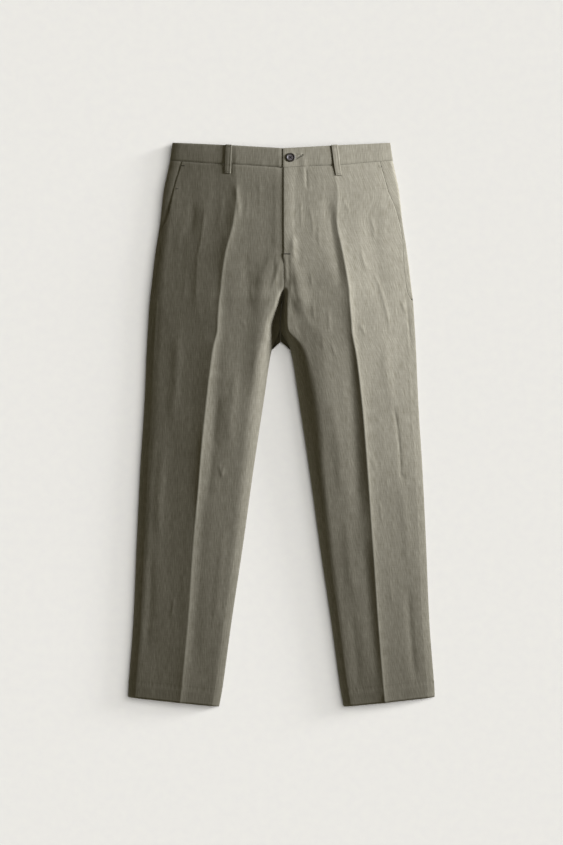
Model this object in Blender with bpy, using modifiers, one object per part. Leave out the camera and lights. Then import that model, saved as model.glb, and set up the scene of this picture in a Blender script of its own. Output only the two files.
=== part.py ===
"""Linen suit trousers laid out on their back, fronts up, with the pressed creases standing as ridges.

Metres, +Z up, +Y towards the waist. The origin is on the surface under the middle of the garment, and the
wearer's right leg lies on the -X side. The cloth is a set of walls through cross sections of the garment.
"""

import math
from collections import namedtuple

import bmesh
import bpy
from mathutils import Matrix, Vector

MM = 0.001
RIGHT, LEFT = -1, 1

# Cloth and seams
CLOTH = 1.2 * MM
SEAM_GAP = 0.3 * MM
HEM_THICKNESS = 2.4 * MM
BAND_THICKNESS = 2.4 * MM
BAND_PROUD = 0.4 * MM
EDGE_WALL = 1.5 * MM
BACK_ROLL = 8 * MM

# The closure: the left front laps over the right one as far as the bottom of the fly
FLY_LAP = 12 * MM
BAND_LAP = 38 * MM
LAP_FADE = 16 * MM
FLY_CLEARANCE = CLOTH + 1.5 * SEAM_GAP
BAND_CLEARANCE = BAND_THICKNESS + BAND_PROUD + 1.5 * SEAM_GAP

# Slanted side pockets: how far in from the side seam each mouth's edge lies, in millimetres, at a distance
# below the band. The mouths narrow half way down, where they are tacked, and gape again below.
Mouth = namedtuple("Mouth", "below_band right left")
MOUTH = (
    Mouth(0, 22.5, 25.0),
    Mouth(56, 18.5, 21.5),
    Mouth(89, 15.5, 11.5),
    Mouth(112, 11.5, 7.0),
    Mouth(137, 3.0, 5.0),
    Mouth(147, 3.0, 5.0),
    Mouth(175, 10.5, 8.0),
    Mouth(215, 8.5, 10.0),
    Mouth(250, 7.5, 9.0),
    Mouth(264, 3.0, 3.0),
)
MOUTH_END = MOUTH[-1].right * MM
FACING_DEPTH = CLOTH + 3 * SEAM_GAP

# Belt loops: two on the front, whose middles run from x_top to x_low in millimetres, and three on the back
LOOP_WIDTH = 12 * MM
LOOP_THICKNESS = 1.6 * MM
LOOP_CROWN = 0.1 * MM
LOOP_LIFT = 2.0 * MM
LOOP_OVER_TOP = 1.2 * MM
LOOP_ROWS = 9
BeltLoop = namedtuple("BeltLoop", "name side x_top x_low below_band")
FRONT_LOOPS = (
    BeltLoop("belt_loop_front_right", RIGHT, -99.0, -101.5, 24.7),
    BeltLoop("belt_loop_front_left", LEFT, 100.0, 108.0, 29.4),
)
BACK_LOOPS = (
    BeltLoop("belt_loop_back_right", RIGHT, -122.0, -122.0, 21.0),
    BeltLoop("belt_loop_back_centre", LEFT, 3.0, 3.0, 21.0),
    BeltLoop("belt_loop_back_left", LEFT, 122.0, 122.0, 21.0),
)

# Waist button
BUTTON_RADIUS = 8.5 * MM
BUTTON_THICKNESS = 3.0 * MM
BUTTON_RIM = 1.7 * MM
BUTTON_FROM_EDGE = 14.2 * MM
BUTTON_ROW = 0.58
BUTTON_HOLE = 1.1 * MM
BUTTON_HOLE_PITCH = 3.4 * MM
BUTTON_GAP = 0.5 * MM

# Zip behind the fly
ZIP_TAPE = 30 * MM
ZIP_FROM_EDGE = 17 * MM
ZIP_TAPE_THICKNESS = 0.8 * MM
ZIP_CHAIN = 5 * MM
ZIP_CHAIN_THICKNESS = 1.2 * MM
ZIP_DEPTH = 4.4 * MM
ZIP_SLIDER = (8 * MM, 9 * MM, 1.9 * MM)
ZIP_PULL = (5 * MM, 24 * MM, 0.9 * MM)

# Outlines of the garment from the waist to the hems, in millimetres. side is the outline at the side seam,
# inner is the edge by the other leg (measured from the centre seam, so 0 down to the fork), forked is 0 where
# the two fronts are one surface and 1 where each leg is a tube, crease_r and crease_l place the creases from
# side (0) to inner edge (1), and back_z is how far the back is lifted off the surface.
Outline = namedtuple("Outline", "name side_x side_y inner_x inner_y centre_x forked crease_r crease_l back_z")
OUTLINES = (
    Outline("band top", 206.0, 533.7, 0.0, 520.5, 3.0, 0, 0.56, 0.54, 2.6),
    Outline("band seam", 211.0, 500.2, 0.0, 483.8, 3.0, 0, 0.58, 0.54, 2.6),
    Outline("high hip", 223.3, 440.0, 0.0, 436.0, 3.0, 0, 0.615, 0.53, 1.0),
    Outline("pocket", 229.3, 384.5, 0.0, 379.0, 3.0, 0, 0.60, 0.525, 0.0),
    Outline("fly end", 239.0, 322.0, 0.0, 320.0, 3.5, 0, 0.55, 0.505, 0.0),
    Outline("crotch top", 246.3, 260.0, 0.0, 264.0, 4.5, 0, 0.53, 0.49, 0.0),
    Outline("crotch", 249.7, 231.0, 0.0, 232.0, 1.0, 1, 0.53, 0.485, 0.0),
    Outline("fork", 253.0, 182.0, 0.0, 184.0, -2.5, 1, 0.532, 0.47, 0.0),
    Outline("thigh", 255.3, 141.5, 17.4, 141.5, -0.5, 1, 0.534, 0.46, 0.0),
    Outline("mid thigh", 259.9, 35.0, 34.7, 35.0, 0.0, 1, 0.524, 0.476, 0.0),
    Outline("knee", 267.6, -86.6, 53.0, -86.6, 0.0, 1, 0.531, 0.488, 0.0),
    Outline("calf", 274.5, -229.0, 72.7, -229.0, 0.0, 1, 0.538, 0.503, 0.0),
    Outline("shin", 280.5, -371.5, 94.4, -374.0, 0.0, 1, 0.562, 0.525, 0.0),
    Outline("hem turn", 289.2, -486.2, 112.2, -504.2, 0.0, 1, 0.572, 0.543, 0.0),
    Outline("hem", 290.8, -516.2, 117.8, -534.2, 0.0, 1, 0.575, 0.546, 0.0),
)
BAND_TOP, BAND_SEAM, FLY_END, CROTCH_TOP, CROTCH, FORK, HEM_TURN, HEM = (
    [s.name for s in OUTLINES].index(name)
    for name in ("band top", "band seam", "fly end", "crotch top", "crotch", "fork", "hem turn", "hem")
)

# Where the seam under the band sags below its line, in millimetres, and over how many rows the sag dies out
Sag = namedtuple("Sag", "x depth width")
SEAM_SAGS = (Sag(110, 2.0, 45), Sag(-140, 1.1, 45))
SAG_ROWS = 0.4

# Heights of each front at the same rows, in millimetres. From the seam a curl of the given height and width
# leads into an even slope up to the crease, whose sharp top is the ridge. The inner half comes down again in
# the same way to inner_z, with its own curl, and ends in a low toe of the given width where the two legs press
# together. Above the fork inner_z is the height along the centre seam.
Height = namedtuple("Height", "seam_z side_curl side_roll crease_z ridge inner_curl inner_roll inner_z toe")
RIGHT_HEIGHTS = (
    Height(8.0, 3.0, 16, 26.0, 0.0, 20.0, 20, 31.5, 0.0),
    Height(8.0, 3.0, 16, 28.0, 0.0, 20.0, 20, 34.0, 0.0),
    Height(8.0, 3.0, 18, 30.5, 1.0, 22.0, 20, 37.5, 0.0),
    Height(7.5, 3.5, 20, 33.0, 2.0, 24.0, 20, 39.5, 0.0),
    Height(7.0, 4.0, 22, 33.5, 2.5, 26.0, 20, 40.5, 0.0),
    Height(7.0, 4.5, 25, 33.0, 3.0, 30.0, 20, 37.0, 1.5),
    Height(7.0, 5.5, 27, 32.5, 3.5, 25.0, 20, 14.0, 5.0),
    Height(6.5, 6.5, 29, 31.8, 4.0, 26.5, 20, 6.5, 11.5),
    Height(6.0, 7.5, 30, 31.2, 4.5, 26.0, 28, 6.0, 0.0),
    Height(6.0, 9.0, 30, 28.8, 4.5, 22.0, 30, 6.0, 0.0),
    Height(5.5, 10.0, 28, 25.8, 4.5, 18.0, 26, 5.5, 0.0),
    Height(5.0, 10.0, 25, 22.8, 4.0, 14.0, 23, 5.0, 0.0),
    Height(5.0, 9.0, 22, 19.5, 4.0, 11.0, 21, 5.0, 0.0),
    Height(4.5, 8.5, 20, 16.5, 3.5, 10.5, 20, 4.5, 0.0),
    Height(4.5, 8.0, 20, 15.5, 3.0, 9.5, 20, 4.5, 0.0),
)
LEFT_HEIGHTS = (
    Height(8.0, 3.0, 16, 24.5, 0.0, 20.0, 20, 31.5, 0.0),
    Height(8.0, 3.0, 16, 26.5, 0.0, 20.0, 20, 34.0, 0.0),
    Height(8.0, 3.0, 18, 29.0, 1.0, 22.0, 20, 37.5, 0.0),
    Height(7.5, 3.5, 20, 31.0, 2.0, 24.0, 20, 39.5, 0.0),
    Height(7.0, 3.5, 22, 33.0, 3.0, 26.0, 20, 40.5, 0.0),
    Height(7.0, 3.5, 25, 34.0, 3.5, 30.0, 20, 37.0, 4.0),
    Height(7.0, 3.5, 27, 34.0, 4.0, 27.0, 24, 14.0, 7.0),
    Height(6.5, 4.0, 29, 33.5, 4.5, 26.5, 30, 6.5, 10.0),
    Height(6.0, 4.5, 30, 32.0, 4.5, 24.0, 42, 6.0, 0.0),
    Height(6.0, 6.0, 30, 29.0, 4.5, 20.5, 40, 6.0, 0.0),
    Height(5.5, 8.0, 28, 25.5, 4.5, 17.5, 32, 5.5, 0.0),
    Height(5.0, 9.0, 25, 22.8, 4.0, 14.0, 26, 5.0, 0.0),
    Height(5.0, 9.0, 22, 20.2, 4.0, 11.3, 22, 5.0, 0.0),
    Height(4.5, 8.5, 20, 19.0, 3.5, 9.0, 20, 4.5, 0.0),
    Height(4.5, 8.0, 20, 18.0, 3.0, 8.0, 20, 4.5, 0.0),
)

# Each leg's panels are made in lengths that butt across it, so that each length is one simple wall
Length = namedtuple("Length", "name start end")
BELOW_FORK = 8.4
BELOW_KNEE = 10.5
LENGTHS = (
    Length("hip", BAND_SEAM, BELOW_FORK),
    Length("thigh", BELOW_FORK, BELOW_KNEE),
    Length("shin", BELOW_KNEE, HEM),
)

# Soft folds of the front, in millimetres on the plan: a ridge (height above 0) or trough (below 0) from one
# point to the other, width across at its middle.
Fold = namedtuple("Fold", "name x1 y1 x2 y2 width height")
FOLDS = (
    Fold("fly crest", 6, 500, 5, 300, 16, 2.6),
    Fold("right hip fold", -146, 425, -160, 200, 10, 1.2),
    Fold("right crease head", -84, 452, -88, 375, 8, 1.6),
    Fold("right crease trough", -112, 330, -132, -80, 16, -2.0),
    Fold("right shin trough", -148, -120, -172, -470, 14, -1.6),
    Fold("right thigh roll", -32, 290, -48, 60, 18, 2.4),
    Fold("left crease trough", 112, 430, 118, 250, 14, -3.0),
    Fold("left thigh trough", 132, 190, 148, -180, 14, -2.6),
    Fold("left shin trough", 158, -220, 182, -480, 12, -2.0),
    Fold("left thigh roll", 74, 210, 92, -60, 26, 2.4),
    Fold("left front roll", 52, 450, 60, 300, 18, 1.6),
    Fold("left hip roll", 176, 420, 196, 240, 26, 1.8),
    Fold("fly end pucker", 22, 352, 20, 300, 7, 1.8),
    Fold("crotch drag right", -10, 318, -52, 225, 12, 2.2),
    Fold("crotch drag left", 24, 300, 44, 215, 12, 1.8),
)

# Where a front has its columns: shares of its rounded edge, then of the flatter part up to the crease
ROLL_COLUMNS = (0.0, 0.1, 0.22, 0.45, 0.8)
TOE_COLUMN = 0.06
FLAT_COLUMNS = (0.25, 0.62)
ROW_PITCH_HIP = 21 * MM
ROW_PITCH_LEG = 34 * MM
ROLL_POWER = 2.2
RIDGE_WIDTH = 10 * MM

# A back has its columns at shares of its rolled edge, across and down, and of the flat part between the rolls
ROLLED_EDGE = ((0.3, 0.65), (1.0, 1.0))
UNROLLED_EDGE = (0.0, 0.2, 0.5, 1.0)
BACK_COLUMNS = (0.33, 0.66)
LEAST_ROLL = 0.4 * MM

# Where a facing lies in its pocket's mouth: shares of the mouth's width and of the facing's depth
IN_MOUTH = ((0.0, 0.0), (0.5, 0.3), (0.85, 1.0))
FACING_COLUMNS = 6

# The waistband's rows from its top to its seam, and its columns from the side towards the centre
BAND_ROWS = (0.0, 0.33, 0.67, 1.0)
BAND_COLUMNS = (0.025, 0.12, 0.28, 0.5, 0.75, 1.0)
UNDERLAP_COLUMNS = (0.3, 0.65)
LAP_STEP = 2 * MM

# The closed part of the fly, in rows from its end: where the lap closes, and where the sunk layer comes up
LAP_CLOSES = -0.36
LAP_RISES = 0.0
LAP_LENGTH = 0.36

# The zip runs between these rows, in as many steps
ZIP_TOP, ZIP_END = 0.12, -0.06
ZIP_STEPS = 7

LINEN = (0.196, 0.188, 0.138, 1.0)
LINEN_SHADE = (0.16, 0.153, 0.112, 1.0)
HORN = (0.035, 0.03, 0.024, 1.0)
ZIP_METAL = (0.42, 0.37, 0.28, 1.0)


def slopes(values):
    """Monotone slopes of a table's column, so that a curve through it never swings past its rows."""
    steps = [b - a for a, b in zip(values, values[1:])]
    inner = [2 * a * b / (a + b) if a * b > 0 else 0.0 for a, b in zip(steps, steps[1:])]
    return [steps[0], *inner, steps[-1]]


def columns(rows, unit):
    """The columns of a table, each with its values and slopes, lengths turned to metres."""
    found = {}
    for field in rows[0]._fields:
        if field != "name":
            scale = 1.0 if field in SHARES else unit
            values = [getattr(row, field) * scale for row in rows]
            found[field] = (values, slopes(values))
    return found


SHARES = ("forked", "crease_r", "crease_l")
OUTLINE = columns(OUTLINES, MM)
HEIGHTS = {RIGHT: columns(RIGHT_HEIGHTS, MM), LEFT: columns(LEFT_HEIGHTS, MM)}
MOUTHS = columns(MOUTH, MM)


def along(column, t):
    """A column's value at row t, which may lie between rows."""
    values, slope = column
    i = min(max(int(t), 0), len(values) - 2)
    s = min(max(t - i, 0.0), 1.0)
    h = s * s * (3 - 2 * s)
    bend = s * (1 - s) * (slope[i] * (1 - s) - slope[i + 1] * s)
    return values[i] * (1 - h) + values[i + 1] * h + bend


def at(field, t):
    return along(OUTLINE[field], t)


def height(side, field, t):
    return along(HEIGHTS[side][field], t)


def bell(distance, width):
    return math.exp(-((distance / width) ** 2))


def smooth(s):
    s = min(max(s, 0.0), 1.0)
    return s * s * (3 - 2 * s)


def rise(distance, width, foot, top, curl, roll_width):
    """Height at a distance from a half section's edge: a curl at the foot, then an even slope to the top."""
    curled = 1 - (1 - min(max(distance / roll_width, 0.0), 1.0)) ** ROLL_POWER
    return foot + curl * curled + (top - foot - curl) * min(max(distance / width, 0.0), 1.0)


def edges(side, t):
    """The x of a leg's side seam, crease and inner edge at row t."""
    outer = side * at("side_x", t)
    inner = at("centre_x", t) + side * at("inner_x", t)
    share = at("crease_r" if side == RIGHT else "crease_l", t)
    return outer, outer + (inner - outer) * share, inner


def plan(side, x, t):
    """The point of the plan at x along row t."""
    outer, _, inner = edges(side, t)
    share = (x - outer) / (inner - outer)
    sag = sum(s.depth * bell(x / MM - s.x, s.width) for s in SEAM_SAGS) * MM * bell(t - BAND_SEAM, SAG_ROWS)
    return Vector((x, at("side_y", t) + (at("inner_y", t) - at("side_y", t)) * share - sag, 0))


def fold_height(x, y):
    """What the soft folds add to the front at a point of the plan."""
    total = 0.0
    for fold in FOLDS:
        a, b = Vector((fold.x1, fold.y1)) * MM, Vector((fold.x2, fold.y2)) * MM
        along = (Vector((x, y)) - a).dot(b - a) / (b - a).length_squared
        across = (Vector((x, y)) - a.lerp(b, along)).length / (fold.width * MM)
        fade = smooth(min(along, 1 - along) * 3 + 0.35)
        total += fold.height * MM * fade * math.exp(-across * across)
    return total


def front_height(x, t):
    """Height of the front's outer face at x along row t. Past the centre seam it is the other leg's."""
    side = LEFT if x > at("centre_x", t) else RIGHT
    outer, crease, inner = edges(side, t)
    top = height(side, "crease_z", t)
    inner_z, toe = height(side, "inner_z", t), height(side, "toe", t)
    outside, half = abs(x - outer), abs(crease - outer)
    inside, inner_half = abs(x - inner), abs(crease - inner)
    if outside <= half:
        foot = height(side, "seam_z", t) + EDGE_WALL
        z = rise(outside, half, foot, top, height(side, "side_curl", t), height(side, "side_roll", t))
    else:
        curl, roll = height(side, "inner_curl", t), height(side, "inner_roll", t)
        tube = rise(inside - toe, inner_half - toe, inner_z + EDGE_WALL, top, curl, roll)
        sheet = inner_z + (top - inner_z) * inside / inner_half
        z = sheet + (tube - sheet) * at("forked", t)
    z += height(side, "ridge", t) * math.exp(-abs(x - crease) / RIDGE_WIDTH)
    inner_mask = smooth((inside - toe) / (inner_half - toe) * 6) if at("forked", t) > 0 else 1.0
    return z + fold_height(x, plan(side, x, t).y) * smooth(outside / half * 6) * inner_mask


def front_point(side, x, t):
    point = plan(side, x, t)
    point.z = front_height(x, t)
    return point


def front_out(side, x, t, distance):
    """The point of the front at x and row t, moved out along the cloth's normal by distance."""
    here = front_point(side, x, t)
    step = 0.5 * MM * (1 if abs(x + 0.5 * MM) < abs(side * at("side_x", t)) else -1)
    across = (front_point(side, x + step, t) - here) / step
    row_step = -0.02 if t > 0.02 else 0.02
    down = (front_point(side, x, t + row_step) - here) / row_step
    normal = across.cross(down)
    normal *= -1 if normal.z < 0 else 1
    return here + normal.normalized() * distance


def rows(start, end, pitch_hip=ROW_PITCH_HIP, pitch_leg=ROW_PITCH_LEG, stops=()):
    """Row positions from one section to another with given stops, at most a pitch apart down the side."""
    marks = sorted({start, end, *range(math.ceil(start), math.ceil(end)), *stops})
    found = [start]
    for a, b in zip(marks, marks[1:]):
        pitch = pitch_hip if a < FORK + 1 else pitch_leg
        count = max(1, math.ceil((at("side_y", a) - at("side_y", b)) / pitch))
        found += [a + (b - a) * (k + 1) / count for k in range(count)]
    return found


def sheet(name, grid, thickness, material, outward_up=True, doubled_rows=0):
    """A wall from a grid of outer points (rows of columns): a grid primitive moved to them, and Solidify."""
    across, down = len(grid[0]), len(grid)
    mesh = bpy.data.meshes.new(name)
    bm = bmesh.new()
    bmesh.ops.create_grid(bm, x_segments=across - 1, y_segments=down - 1, size=1)
    for vert in bm.verts:
        column = round((vert.co.x + 1) / 2 * (across - 1))
        row = round((1 - vert.co.y) / 2 * (down - 1))
        vert.co = grid[row][column]
    bm.normal_update()
    lean = sum(face.normal.z * face.calc_area() * face.calc_center_median().z for face in bm.faces)
    if (lean > 0) != outward_up:
        bmesh.ops.reverse_faces(bm, faces=bm.faces[:])
    bm.to_mesh(mesh)
    bm.free()
    mesh.shade_smooth()
    obj = add_object(name, mesh, material)
    wall = obj.modifiers.new("wall", "SOLIDIFY")
    wall.offset = -1
    wall.use_even_offset = True
    wall.use_quality_normals = True
    wall.thickness = thickness
    if doubled_rows:
        doubled = obj.vertex_groups.new(name="turned up")
        hem_points = {tuple(round(c, 6) for c in p) for row in grid[-doubled_rows:] for p in row}
        inside = [v.index for v in mesh.vertices if tuple(round(c, 6) for c in v.co) in hem_points]
        doubled.add(inside, 1.0, "REPLACE")
        wall.vertex_group = doubled.name
        wall.thickness = HEM_THICKNESS
        wall.thickness_vertex_group = thickness / HEM_THICKNESS
    return obj


def add_object(name, mesh, material):
    obj = bpy.data.objects.new(name, mesh)
    mesh.materials.append(material)
    garment.objects.link(obj)
    return obj


def material(name, colour, roughness, metallic=0.0):
    made = bpy.data.materials.new(name)
    made.use_nodes = True
    shader = made.node_tree.nodes["Principled BSDF"]
    shader.inputs["Base Color"].default_value = colour
    shader.inputs["Roughness"].default_value = roughness
    shader.inputs["Metallic"].default_value = metallic
    made.diffuse_color = colour
    return made


def mouth_width(side, t):
    """How far in from the side seam the pocket mouth lies at row t. It is 0 from the mouth's lower end on."""
    below_band = (at("side_y", BAND_SEAM) - at("side_y", t)) / MM
    for i, (a, b) in enumerate(zip(MOUTH, MOUTH[1:])):
        if below_band <= b.below_band:
            share = (below_band - a.below_band) / (b.below_band - a.below_band)
            return along(MOUTHS["right" if side == RIGHT else "left"], i + share)
    return 0.0


def mouth_end():
    """The row at which the pocket mouths meet the side seams."""
    low, high = float(BAND_SEAM), float(CROTCH)
    for _ in range(30):
        middle = (low + high) / 2
        low, high = (middle, high) if mouth_width(RIGHT, middle) > 0 else (low, middle)
    return low


def fly_lap(t):
    """How far the right front reaches under the left one past the centre seam. Below the fly they butt."""
    closed = smooth((t - FLY_END - LAP_CLOSES) / LAP_LENGTH)
    return FLY_LAP + (-SEAM_GAP / 2 - FLY_LAP) * closed


def lap_sink(t, past_edge, clearance):
    """How deep a lapped layer lies: full under the layer over it, then fading out before its edge."""
    fade = 1 - smooth(-past_edge / LAP_FADE)
    down = 1 - smooth((t - FLY_END - LAP_RISES) / LAP_LENGTH)
    return clearance * fade * down


def column_places(width, roll_width):
    """Distances from an edge towards the crease at which a front has its columns."""
    flat = width - roll_width
    places = [roll_width * a for a in ROLL_COLUMNS] + [roll_width + flat * a for a in FLAT_COLUMNS]
    return [*places, width - 0.9 * RIDGE_WIDTH]


def front_columns(side, t):
    """The outer points of one row of a front, from the side seam or pocket mouth to the inner edge."""
    outer, crease, inner = edges(side, t)
    forked = at("forked", t)
    near = outer - side * mouth_width(side, t)
    places = column_places(abs(crease - near), height(side, "side_roll", t))
    points = [front_point(side, near - side * d, t) for d in places]
    foot = points[0].copy()
    foot.z -= EDGE_WALL - SEAM_GAP / 2
    points = [foot, *points, front_point(side, crease, t)]

    lap = fly_lap(t) if side == RIGHT else -SEAM_GAP / 2
    far = inner + side * SEAM_GAP / 2
    if forked < 1:
        far = inner - side * lap * (1 - forked) + side * SEAM_GAP / 2 * forked
    stop = far + side * EDGE_WALL * (1 - forked)
    toe, roll = height(side, "toe", t), height(side, "inner_roll", t)
    places = [TOE_COLUMN * roll, *column_places(abs(crease - stop) - toe, roll)[1:]]
    centre = at("centre_x", t)
    for x in [*(stop + side * (toe + d) for d in reversed(places)), stop, far]:
        sunk = lap_sink(t, x - centre, FLY_CLEARANCE) if side == RIGHT and t < CROTCH_TOP else 0.0
        points.append(front_out(side, x, t, -sunk) if sunk else front_point(side, x, t))
    end = points[-1]
    end.z += (height(side, "inner_z", t) + SEAM_GAP / 2 - end.z) * forked
    return points


def back_columns(side, t):
    """The outer points of one row of a back, on the surface, rolled up to the seams at its edges."""
    outer, _, inner = edges(side, t)
    lift = at("back_z", t)
    forked = at("forked", t)
    inner += side * SEAM_GAP / 2
    if t > FORK:
        inner_top = height(side, "seam_z", t)
    else:
        inner_top = lift + (height(side, "seam_z", FORK) - lift) * smooth(t - CROTCH)
    inner_top = max(inner_top - SEAM_GAP / 2, lift)

    def placed(x, z):
        point = plan(side, x, t)
        point.z = z
        return point

    def rolled(edge, towards, top):
        drop = top - min(EDGE_WALL, top - lift) - lift
        roll = [placed(edge + towards * BACK_ROLL * a, lift + drop * (1 - down)) for a, down in ROLLED_EDGE]
        return [placed(edge, top), placed(edge, lift + drop), *roll]

    side_points = rolled(outer, -side, height(side, "seam_z", t) - SEAM_GAP / 2)
    if inner_top - lift < LEAST_ROLL:
        inner_points = [placed(inner + side * BACK_ROLL * a, lift) for a in UNROLLED_EDGE]
    else:
        inner_points = rolled(inner, side, inner_top)
    middle = [side_points[-1].lerp(inner_points[-1], share) for share in BACK_COLUMNS]
    return side_points + middle + inner_points[::-1]


MOUTH_ROW = mouth_end() - 0.001
FRONT_STOPS = (FLY_END + LAP_CLOSES, MOUTH_ROW, FLY_END + LAP_RISES + LAP_LENGTH)


def build_panels(name, columns_of, linen, pitch_hip, pitch_leg, stops=(), outward_up=True):
    """Each side's front or back in its lengths, with a seam's gap above and below each length."""
    gap = Vector((0, SEAM_GAP / 2, 0))
    for side, side_name in ((RIGHT, "right"), (LEFT, "left")):
        for length in LENGTHS:
            inside = [stop for stop in stops if length.start < stop < length.end]
            steps = rows(length.start, length.end, pitch_hip, pitch_leg, inside)
            grid = [columns_of(side, t) for t in steps]
            grid[0] = [p - gap for p in grid[0]]
            if length.end != HEM:
                grid[-1] = [p + gap for p in grid[-1]]
            doubled = sum(t >= HEM_TURN for t in steps)
            sheet(f"{name}_{side_name}_{length.name}", grid, CLOTH, linen, outward_up, doubled)


def build_fronts(linen):
    build_panels("front", front_columns, linen, ROW_PITCH_HIP, ROW_PITCH_LEG, FRONT_STOPS)


def build_backs(linen):
    build_panels("back", back_columns, linen, 2 * ROW_PITCH_HIP, 1.5 * ROW_PITCH_LEG, outward_up=False)


def build_pocket_facings(linen):
    """The hip pieces seen in the pocket mouths. They dip under the front's edge and follow it below."""
    for side, name in ((RIGHT, "pocket_facing_right"), (LEFT, "pocket_facing_left")):
        grid = []
        for t in rows(BAND_SEAM, MOUTH_ROW):
            outer, crease, _ = edges(side, t)
            near = outer - side * max(mouth_width(side, t), MOUTH_END)
            row = [front_out(side, outer + (near - outer) * a, t, -FACING_DEPTH * sunk) for a, sunk in IN_MOUTH]
            places = column_places(abs(crease - near), height(side, "side_roll", t))[:FACING_COLUMNS]
            row += [front_out(side, near - side * d, t, -FACING_DEPTH) for d in places]
            foot = row[0].copy()
            foot.z = height(side, "seam_z", t) + SEAM_GAP / 2
            grid.append([foot, *row])
        grid[0] = [p + Vector((0, -SEAM_GAP / 2, 0)) for p in grid[0]]
        sheet(name, grid, CLOTH, linen)


def build_waistbands(linen):
    """One band for each side, from the front opening round the side to the centre back."""
    for side, name in ((RIGHT, "waistband_right"), (LEFT, "waistband_left")):
        grid = []
        for t in BAND_ROWS:
            outer, _, inner = edges(side, t)
            row = [front_out(side, outer + (inner - outer) * share, t, BAND_PROUD) for share in BAND_COLUMNS]
            if side == RIGHT:
                row[-1] = front_out(side, inner - LAP_FADE, t, BAND_PROUD)
                lapped = [inner + BAND_LAP * share for share in UNDERLAP_COLUMNS]
                for x in (inner - LAP_FADE / 2, inner - EDGE_WALL, *lapped, inner + BAND_LAP):
                    before_lap = inner - LAP_STEP - x
                    sunk = BAND_CLEARANCE * (1 - smooth(before_lap / (LAP_FADE - 2 * LAP_STEP)))
                    row.append(front_out(side, x, t, BAND_PROUD - sunk))
            sides = back_columns(side, t)
            under = [p + Vector((0, 0, -BAND_PROUD)) for p in sides[2:-3]]
            under.append(sides[-1] + Vector((0, 0, -BAND_PROUD)))
            edge = plan(side, outer, t)
            edge.z = height(side, "seam_z", t) + EDGE_WALL / 2
            edge.x += side * BAND_PROUD
            low = edge.copy()
            low.z = height(side, "seam_z", t) - 1.5 * EDGE_WALL
            grid.append([*row[::-1], edge, low, *under])
        grid[-1] = [p + Vector((0, SEAM_GAP / 2, 0)) for p in grid[-1]]
        sheet(name, grid, BAND_THICKNESS, linen)


def build_belt_loops(linen):
    """Two loops on the front of the band and three on its back, each lying on the cloth at both ends."""
    band_length = at("side_y", BAND_TOP) - at("side_y", BAND_SEAM)
    first_row = at("side_y", BAND_SEAM) - at("side_y", BAND_SEAM + 1)
    for loop in FRONT_LOOPS:
        grid = []
        for k in range(LOOP_ROWS):
            share = k / (LOOP_ROWS - 1)
            reach = (band_length + loop.below_band * MM) * share
            t = reach / band_length if reach < band_length else BAND_SEAM + (reach - band_length) / first_row
            arch = smooth(min(share, 1 - share) * 5)
            middle = (loop.x_top + (loop.x_low - loop.x_top) * share) * MM
            lift = SEAM_GAP + BAND_PROUD * (1 - arch) + LOOP_LIFT * arch + LOOP_THICKNESS
            lift += BAND_PROUD * (t <= BAND_SEAM)
            row = []
            for offset in (-0.5, 0, 0.5):
                crown = LOOP_CROWN * (1 - abs(2 * offset))
                row.append(front_out(loop.side, middle + offset * LOOP_WIDTH, t, lift + crown))
            grid.append(row)
        grid[0] = [p + Vector((0, LOOP_OVER_TOP, 0)) for p in grid[0]]
        sheet(loop.name, grid, LOOP_THICKNESS, linen)
    for loop in BACK_LOOPS:
        x = loop.x_top * MM
        top, low = plan(loop.side, x, BAND_TOP), plan(loop.side, x, BAND_SEAM)
        length = top.y - low.y + loop.below_band * MM
        strip = rounded_box(loop.name, (LOOP_WIDTH, length, LOOP_THICKNESS), 0.4 * MM, linen)
        strip.location = (x, top.y - length / 2, LOOP_THICKNESS / 2)


def rounded_box(name, size, radius, stuff):
    mesh = bpy.data.meshes.new(name)
    bm = bmesh.new()
    bmesh.ops.create_cube(bm, size=1)
    bmesh.ops.scale(bm, vec=size, verts=bm.verts)
    bm.to_mesh(mesh)
    bm.free()
    obj = add_object(name, mesh, stuff)
    bevel = obj.modifiers.new("edges", "BEVEL")
    bevel.width = radius
    bevel.segments = 2
    return obj


def surface_frame(side, x, t, distance):
    """A matrix that puts an object's origin on the front, moved out by distance, with Z along the normal."""
    here = front_out(side, x, t, distance)
    across = (front_out(side, x + MM, t, distance) - here).normalized()
    normal = (front_out(side, x, t, distance + MM) - here).normalized()
    along = normal.cross(across).normalized()
    across = along.cross(normal)
    rotation = Matrix((across, along, normal)).transposed().to_4x4()
    return Matrix.Translation(here) @ rotation


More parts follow.
